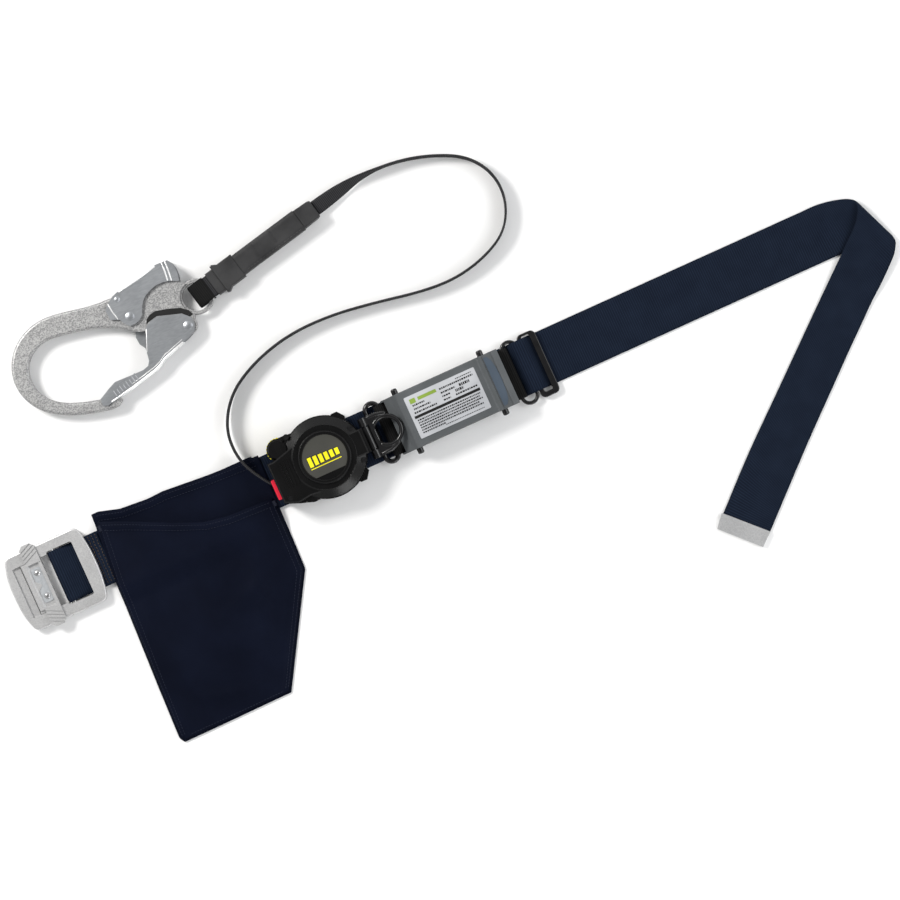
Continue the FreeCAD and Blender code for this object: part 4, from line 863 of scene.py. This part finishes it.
def cloth_panel(name, surface, columns, rows, seam=None):
    """Cloth over a surface, with a hem folded over at the top and, if asked, turned-in seams."""
    points, uvs, faces = [], [], []
    spans_u, spans_v = edge_spaced(columns), edge_spaced(rows)
    for v in spans_v:
        for u in spans_u:
            place, normal = surface_frame(surface, u, v)
            from_top = (surface(u, 1) - place).length / MM
            from_side = min((surface(end, v) - place).length for end in (0, 1)) / MM
            extra = folded_over(from_top, HEM, HEM_FOLD)
            if seam:
                extra = max(extra, folded_over(from_side, seam, SEAM_FOLD))
            thin = min(1.0, THIN_EDGE + from_side / THIN_OVER, THIN_EDGE + from_top / THIN_OVER)
            half = CLOTH_THICK / 2 * thin
            points += [place + normal * (half + extra) * MM, place - normal * half * MM]
            uvs += [(place.x, place.y)] * 2
    last_u, last_v = len(spans_u) - 1, len(spans_v) - 1
    top = [[2 * (j * len(spans_u) + i) for i in range(last_u + 1)] for j in range(last_v + 1)]
    low = [[k + 1 for k in row] for row in top]
    for j in range(last_v):
        for i in range(last_u):
            faces.append((top[j][i], top[j][i + 1], top[j + 1][i + 1], top[j + 1][i]))
            faces.append((low[j][i], low[j + 1][i], low[j + 1][i + 1], low[j][i + 1]))
    for i in range(last_u):
        faces.append((low[0][i], low[0][i + 1], top[0][i + 1], top[0][i]))
        faces.append((top[last_v][i], top[last_v][i + 1], low[last_v][i + 1], low[last_v][i]))
    for j in range(last_v):
        faces.append((top[j][0], top[j + 1][0], low[j + 1][0], low[j][0]))
        faces.append((low[j][last_u], low[j + 1][last_u], top[j + 1][last_u], top[j][last_u]))
    return add_mesh(name, points, faces, "pouch_cloth", uvs)


def surface_line(surface, start, end, lift):
    """Line of (place, normal) over a surface between two (u, v) points, lifted in millimetres."""
    line = []
    for i in range(LINE_POINTS + 1):
        t = i / LINE_POINTS
        u, v = [a + (b - a) * t for a, b in zip(start, end)]
        place, normal = surface_frame(surface, u, v)
        line.append((place + normal * lift * MM, normal))
    return line


def make_sleeve():
    line = smooth_line([Vector((0, y, z)) * MM for y, z in SLEEVE_ROUTE], SLEEVE_STEP)
    left, right = [[Vector((x, p.y, p.z)) for p in line] for x in SLEEVE_ENDS]
    return ribbon("pouch_sleeve_cloth", left, right, SLEEVE_THICK, "pouch_cloth", 30)


def make_seams():
    """Stitches along hems and seams: two rows at each top edge, two at each side, one below."""
    rows = [(front_point, v, HEM_LIFT) for v in FRONT_HEM_ROWS]
    rows += [(back_point, v, HEM_LIFT) for v in BACK_HEM_ROWS]
    rows.append((front_point, FOOT_ROW, FOOT_LIFT))
    lines = [surface_line(surface, *[(u, v) for u in ROW_ENDS], lift) for surface, v, lift in rows]
    lines += [surface_line(front_point, *[(u, v) for v in SIDE_ENDS], SIDE_LIFT) for u in SIDE_ROWS]
    return stitch_mesh("pouch_stitches", lines, "thread_navy", "pouch_cloth", *POUCH_THREAD)


def make_tacks():
    """Close rows of thread that hold both ends of the mouth."""
    bars = []
    for u, v in TACKS:
        place, normal = surface_frame(front_point, u, v)
        for k in range(TACK_ROWS):
            centre = place + Vector((0, -TACK_PITCH * k, TACK_LIFT))
            bars.append([(centre + Vector((x, 0, 0)), normal) for x in (-TACK_HALF, TACK_HALF)])
    return stitch_mesh("pouch_bar_tacks", bars, "thread_navy", "pouch_cloth", *TACK_THREAD)


def make_pouch():
    back = cloth_panel("pouch_back_cloth", back_point, *BACK_GRID)
    front = cloth_panel("pouch_front_cloth", front_point, *FRONT_GRID, SEAM)
    sleeve = make_sleeve()
    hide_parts("pouch_back")
    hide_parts("pouch_front")
    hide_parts("pouch_belt_sleeve")
    seams = make_seams()
    tacks = make_tacks()


# ------------------------ webbing loops and grip
# Loops at the absorber as (x, z) round its two rings, and their edges across the belt.
LEFT_LOOP = [
    (72.5, 8.6), (68.5, 8.7), (65.6, 10.4), (62.6, 11.2), (59.6, 10.6), (57.9, 8.6), (57.75, 6.6),
    (58.8, 4.2), (61.0, 3.2), (64.0, 3.5), (67.0, 5.2), (70.0, 5.5), (73.0, 5.5),
]
RIGHT_LOOP = [
    (170, 8.2), (177, 8.2), (181, 8.4), (184.2, 8.35), (187.2, 8.2), (189.3, 6.8), (189.4, 4.8),
    (188.0, 3.2), (186.0, 2.95), (182.6, 3.0), (179.0, 4.2), (175.6, 5.4), (170, 5.5),
]
LOOP_EDGES = (23.5, -25.5)
# The hook's eye in millimetres, which the hook turns about, and the way the grip points from it.
EYE_X, EYE_Y, EYE_Z = -46.9, 181.1, 9.2
GRIP_TURN = math.radians(12.35)
GRIP_PLACE = (Matrix.Translation(Vector((EYE_X, EYE_Y, EYE_Z)) * MM)
              @ Matrix.Rotation(GRIP_TURN, 4, "Z"))
END_LOOP = [
    (29.5, 4.6), (20, 4.6), (10, 4.6), (4.0, 4.6), (0.9, 3.4), (-0.6, 0.0), (0.9, -3.4),
    (4.0, -4.6), (10, -4.6), (20, -4.6), (29.5, -4.6),
]
LOOP_COVER = [
    (13.8, 6.4), (9, 6.45), (4.0, 6.35), (-0.4, 4.7), (-2.3, 0.0), (-0.4, -4.7), (4.0, -6.35),
    (9, -6.45), (13.8, -6.4),
]
GRIP_SEAM_SIDES = (-8.3, 8.3)
GRIP_SEAM_HEIGHT = 7.4


def make_loops():
    left = side_ribbon("left_loop_webbing", LEFT_LOOP, LOOP_EDGES, 0.95, "black_webbing")
    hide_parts("webbing_loop_left")
    right = side_ribbon("right_loop_webbing", RIGHT_LOOP, LOOP_EDGES, 0.95, "black_webbing")
    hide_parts("webbing_loop_right")


def make_grip_cloth():
    loop = side_ribbon("end_loop_webbing", END_LOOP, (10.0, -10.0), 1.8, "strap_webbing",
                       GRIP_PLACE)
    protector = side_ribbon("loop_protector_webbing", LOOP_COVER, (11.0, -11.0), 1.2,
                            "black_webbing", GRIP_PLACE)
    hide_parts("strap_end_loop")
    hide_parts("loop_protector")


def make_grip_seams():
    """A row of stitches along each side of the lanyard's grip."""
    lines = [[(GRIP_PLACE @ (Vector((x, y, GRIP_SEAM_HEIGHT)) * MM), UP) for x in range(52, 114, 2)]
             for y in GRIP_SEAM_SIDES]
    stitch_mesh("grip_stitches", lines, "thread_grey", "grip_grey", *GRIP_THREAD)


# ------------------------ printed marks
LABEL_TOP = 27.3
LABEL_BAR = (88.5, 153.0, -2.6, -0.1, LABEL_TOP)
LABEL_BLOCKS = [(98, 116, 12.2, 15.2, LABEL_TOP), (90, 95.5, 11.4, 15.8, LABEL_TOP)]
# Rows of strokes on the label in the order they're drawn: first and last x, y, height, longest.
LABEL_ROWS = [
    (91, 103, 8.6, 1.5, 2.2), (91, 107, 5.2, 1.5, 2.2), (90, 112, 1.8, 1.5, 2.2),
    (119, 152, 12.6, 1.5, 2.2), (119, 133, 8.8, 1.5, 2.2), (119, 127, 5.4, 1.5, 2.2),
    (119, 126, 1.9, 1.5, 2.2), (131, 152, 1.9, 1.5, 2.2), (137, 147, 8.3, 2.4, 2.0),
    (132, 140, 4.9, 2.4, 2.0), (136, 152, 15.6, 0.8, 1.6), (90, 152, -5.3, 1.3, 2.0),
    (90, 150, -7.7, 1.3, 2.0), (90, 152, -10.1, 1.3, 2.0), (90, 148, -12.5, 1.3, 2.0),
    (90, 151, -14.9, 1.3, 2.0), (90, 112, -17.3, 1.3, 2.0), (112, 150, -18.6, 0.7, 1.4),
]
SHORTEST_STROKE, STROKE_GAP = 0.7, 0.55
DISC_TOP = 37.8
# The disc's bars: count, first x, pitch, width, middle y, tallest and how much each is shorter.
DISC_BARS, BAR_FROM, BAR_PITCH, BAR_WIDTH = 6, -15.5, 5.2, 3.6
BAR_MIDDLE, BAR_TALL, BAR_LESS = 0.6, 9.2, 0.6
DISC_LINE = (-15.5, 14.1, -6.2, -5.4, DISC_TOP)
BAR_RIM, RIM_BELOW = 0.5, 0.05


def print_row(first, last, y, height, longest):
    """A row of short printed strokes of uneven length, as (x0, x1, y0, y1, z)."""
    row = []
    x = first
    while x < last:
        length = min(random.uniform(SHORTEST_STROKE, longest), last - x)
        row.append((x, x + length, y, y + height, LABEL_TOP))
        x += length + STROKE_GAP
    return row


def make_marks():
    strokes = [stroke for row in LABEL_ROWS for stroke in print_row(*row)]
    flat_bars("label_print", [LABEL_BAR] + strokes, "ink_and_shadow_black")
    flat_bars("label_green_block", LABEL_BLOCKS, "label_green")
    stripes, rims = [], []
    for i in range(DISC_BARS):
        x0, half = BAR_FROM + BAR_PITCH * i, (BAR_TALL - BAR_LESS * i) / 2
        x1, y0, y1 = x0 + BAR_WIDTH, BAR_MIDDLE - half, BAR_MIDDLE + half
        stripes.append((x0, x1, y0, y1, DISC_TOP))
        rims.append((x0 - BAR_RIM, x1 + BAR_RIM, y0 - BAR_RIM, y1 + BAR_RIM, DISC_TOP - RIM_BELOW))
    flat_bars("disc_mark_yellow", stripes + [DISC_LINE], "yellow_plastic")
    flat_bars("disc_mark_black", rims, "ink_and_shadow_black")


# ------------------------ folds, ribs and rims
# Lines on the hook's plates as (x, y) from its eye.
GATE_SPINE = [
    (-108.6, -55.5), (-86, -51.2), (-60, -45.2), (-54.6, -42.9), (-49.6, -39.6), (-39, -36.2),
    (-28.4, -33.0),
]
GATE_GROOVE = [(x + 0.6, y + 2.6) for x, y in GATE_SPINE[1:]]
GATE_LEAF = [(-61.2, -27.6), (-57.2, -18), (-53.4, -8.6)]
LEVER_SPINE = [(-61.8, 32.5), (-50, 34.6), (-40, 36.3), (-31, 38.3), (-23.5, 40.0)]
LEVER_RIBS = [[(-17.4, 24.0), (-16.4, 32), (-16.0, 40.2)],
              [(-14.2, 22.6), (-13.2, 32), (-12.8, 40.0)]]
LEVER_NOSE = [(-75.6, 25.6), (-74.8, 18), (-73.0, 10.6)]
# Outline of the gate's slot, from its eye; a thin black sheet there is a painted shadow for the
# shade in the slot.
GATE_SLOT = [
    (-51.6, -4.4), (-49.6, -0.6), (-46.0, 1.9), (-39.8, 3.3), (-29, 0.6), (-17.0, -3.6),
    (-11.4, -8.4), (-9.0, -13.4), (-12.6, -14.4), (-18.4, -8.6), (-40.0, -1.6), (-46.6, -3.0),
]
SLOT_LOW, SLOT_HIGH = EYE_Z + 4.9, EYE_Z + 5.12
# The gate's eight ribs: the first one's place, the step to the next and the way they run.
# Their light strokes are painted highlights on the ribs.
RIB_COUNT = 8
RIB_X, RIB_Y, RIB_STEP_X, RIB_STEP_Y = -103, -49.5, 3.4, 0.8
RIB_WAY_X, RIB_WAY_Y = -0.225, 0.974
RIB_START, RIB_END, RIB_SHORTER, RIB_Z = -3.2, 2.2, 0.9, 7.0
# Folds of the plates: name, lines with their heights over the hook's middle, and radius.
# The light beads along the folds, spine and ribs are painted highlights.
GATE_FOLDS = [("gate_spine_bead", [(GATE_SPINE, 5.7), (GATE_SPINE, -5.7)], 1.1),
              ("gate_spine_groove", [(GATE_GROOVE, 6.35)], 0.3),
              ("gate_leaf_edge", [(GATE_LEAF, 6.1)], 0.5)]
LEVER_FOLDS = [("lever_spine_bead", [(LEVER_SPINE, 7.7)], 0.95),
               ("lever_rib_beads", [(rib, 7.95) for rib in LEVER_RIBS], 0.75),
               ("lever_nose_fold", [(LEVER_NOSE, 7.9)], 0.6)]
# The attachment link's ring, as far as it lies clear of the steel plate, and its two webs.
RING_X, RING_Y, RING_Z, RING_R = 60.8, -0.9, 22.3, 13.3
RING_ARC = range(-132, 133, 4)
LINK_WEBS = [[(64.5, 14.6, 22.6), (56.0, 16.6, 22.6), (49.0, 16.8, 22.6)],
             [(66.5, -14.6, 22.6), (58.0, -18.2, 22.6), (49.0, -18.6, 22.6)]]
RECESS = [
    (166.6, -24.5), (170.0, -24.5), (172.6, -20), (174.0, -12), (174.5, -1), (174.0, 10),
    (172.6, 18), (170.0, 22.5), (166.6, 22.5),
]
RECESS_LOW, RECESS_HIGH = 25.4, 25.75
# Rims on the reel's face: height and radius of the ring, and their own radius.
REEL_RIMS = [("boss_rim_bead", 37.35, 23.6), ("face_rim_bead", 35.25, 28.9)]
RIM_R = 0.45


def at_hook(line, height):
    """A line drawn from the hook's eye, at a height over the hook's middle."""
    return [(x + EYE_X, y + EYE_Y, EYE_Z + height) for x, y in line]


def gate_ribs():
    lines = []
    for i in range(RIB_COUNT):
        x, y = RIB_X + RIB_STEP_X * i, RIB_Y + RIB_STEP_Y * i
        ends = (RIB_START, RIB_END - RIB_SHORTER * (i % 2))
        lines.append(at_hook([(x + RIB_WAY_X * s, y + RIB_WAY_Y * s) for s in ends], RIB_Z))
    return lines


def make_hook_trim():
    # Light beads along the plates' folds and ribs are painted highlights.
    for folds, body in ((GATE_FOLDS, "hook_gate"), (LEVER_FOLDS, "hook_lever")):
        for name, lines, radius in folds:
            bars = [at_hook(*line) for line in lines]
            bead(name, bars, radius, "bright_steel", body)
    # Light strokes across the gate's ribs: painted highlights.
    bead("gate_rib_strokes", gate_ribs(), 0.42, "label_silver", "hook_gate", 8)
    # Painted shadow: a thin black sheet in the gate's slot stands in for the shade inside it.
    slot = [(x + EYE_X, y + EYE_Y) for x, y in GATE_SLOT]
    flat_plate("gate_slot_shadow", slot, SLOT_LOW, SLOT_HIGH, "ink_and_shadow_black",
               "hook")


def make_small_trim():
    turns = [math.radians(a) for a in RING_ARC]
    ring = [(RING_X + RING_R * math.cos(a), RING_Y + RING_R * math.sin(a), RING_Z) for a in turns]
    bead("link_ring_bead", [ring], 2.1, "black_steel", "swing_link", 14)
    bead("link_web_beads", LINK_WEBS, 2.0, "black_steel", "swing_link")
    flat_plate("absorber_recess_panel", RECESS, RECESS_LOW, RECESS_HIGH, "recess_blue")
    for rim in REEL_RIMS:
        rim_bead(*rim, RIM_R, "black_plastic")


def paint_cad():
    """Give each CAD node the material of its slot."""
    slots = {row["node"]: row["material_slot"] for row in frame["record"]["subparts"]}
    for name, obj in frame["nodes"].items():
        for place in obj.material_slots:
            place.material = MATERIALS[slots[name]]


MATERIALS = make_materials()
paint_cad()
make_camera()
make_strap()
make_studio()
make_belt()
make_pouch()
make_loops()
make_grip_cloth()
make_marks()
make_grip_seams()
make_hook_trim()
make_small_trim()
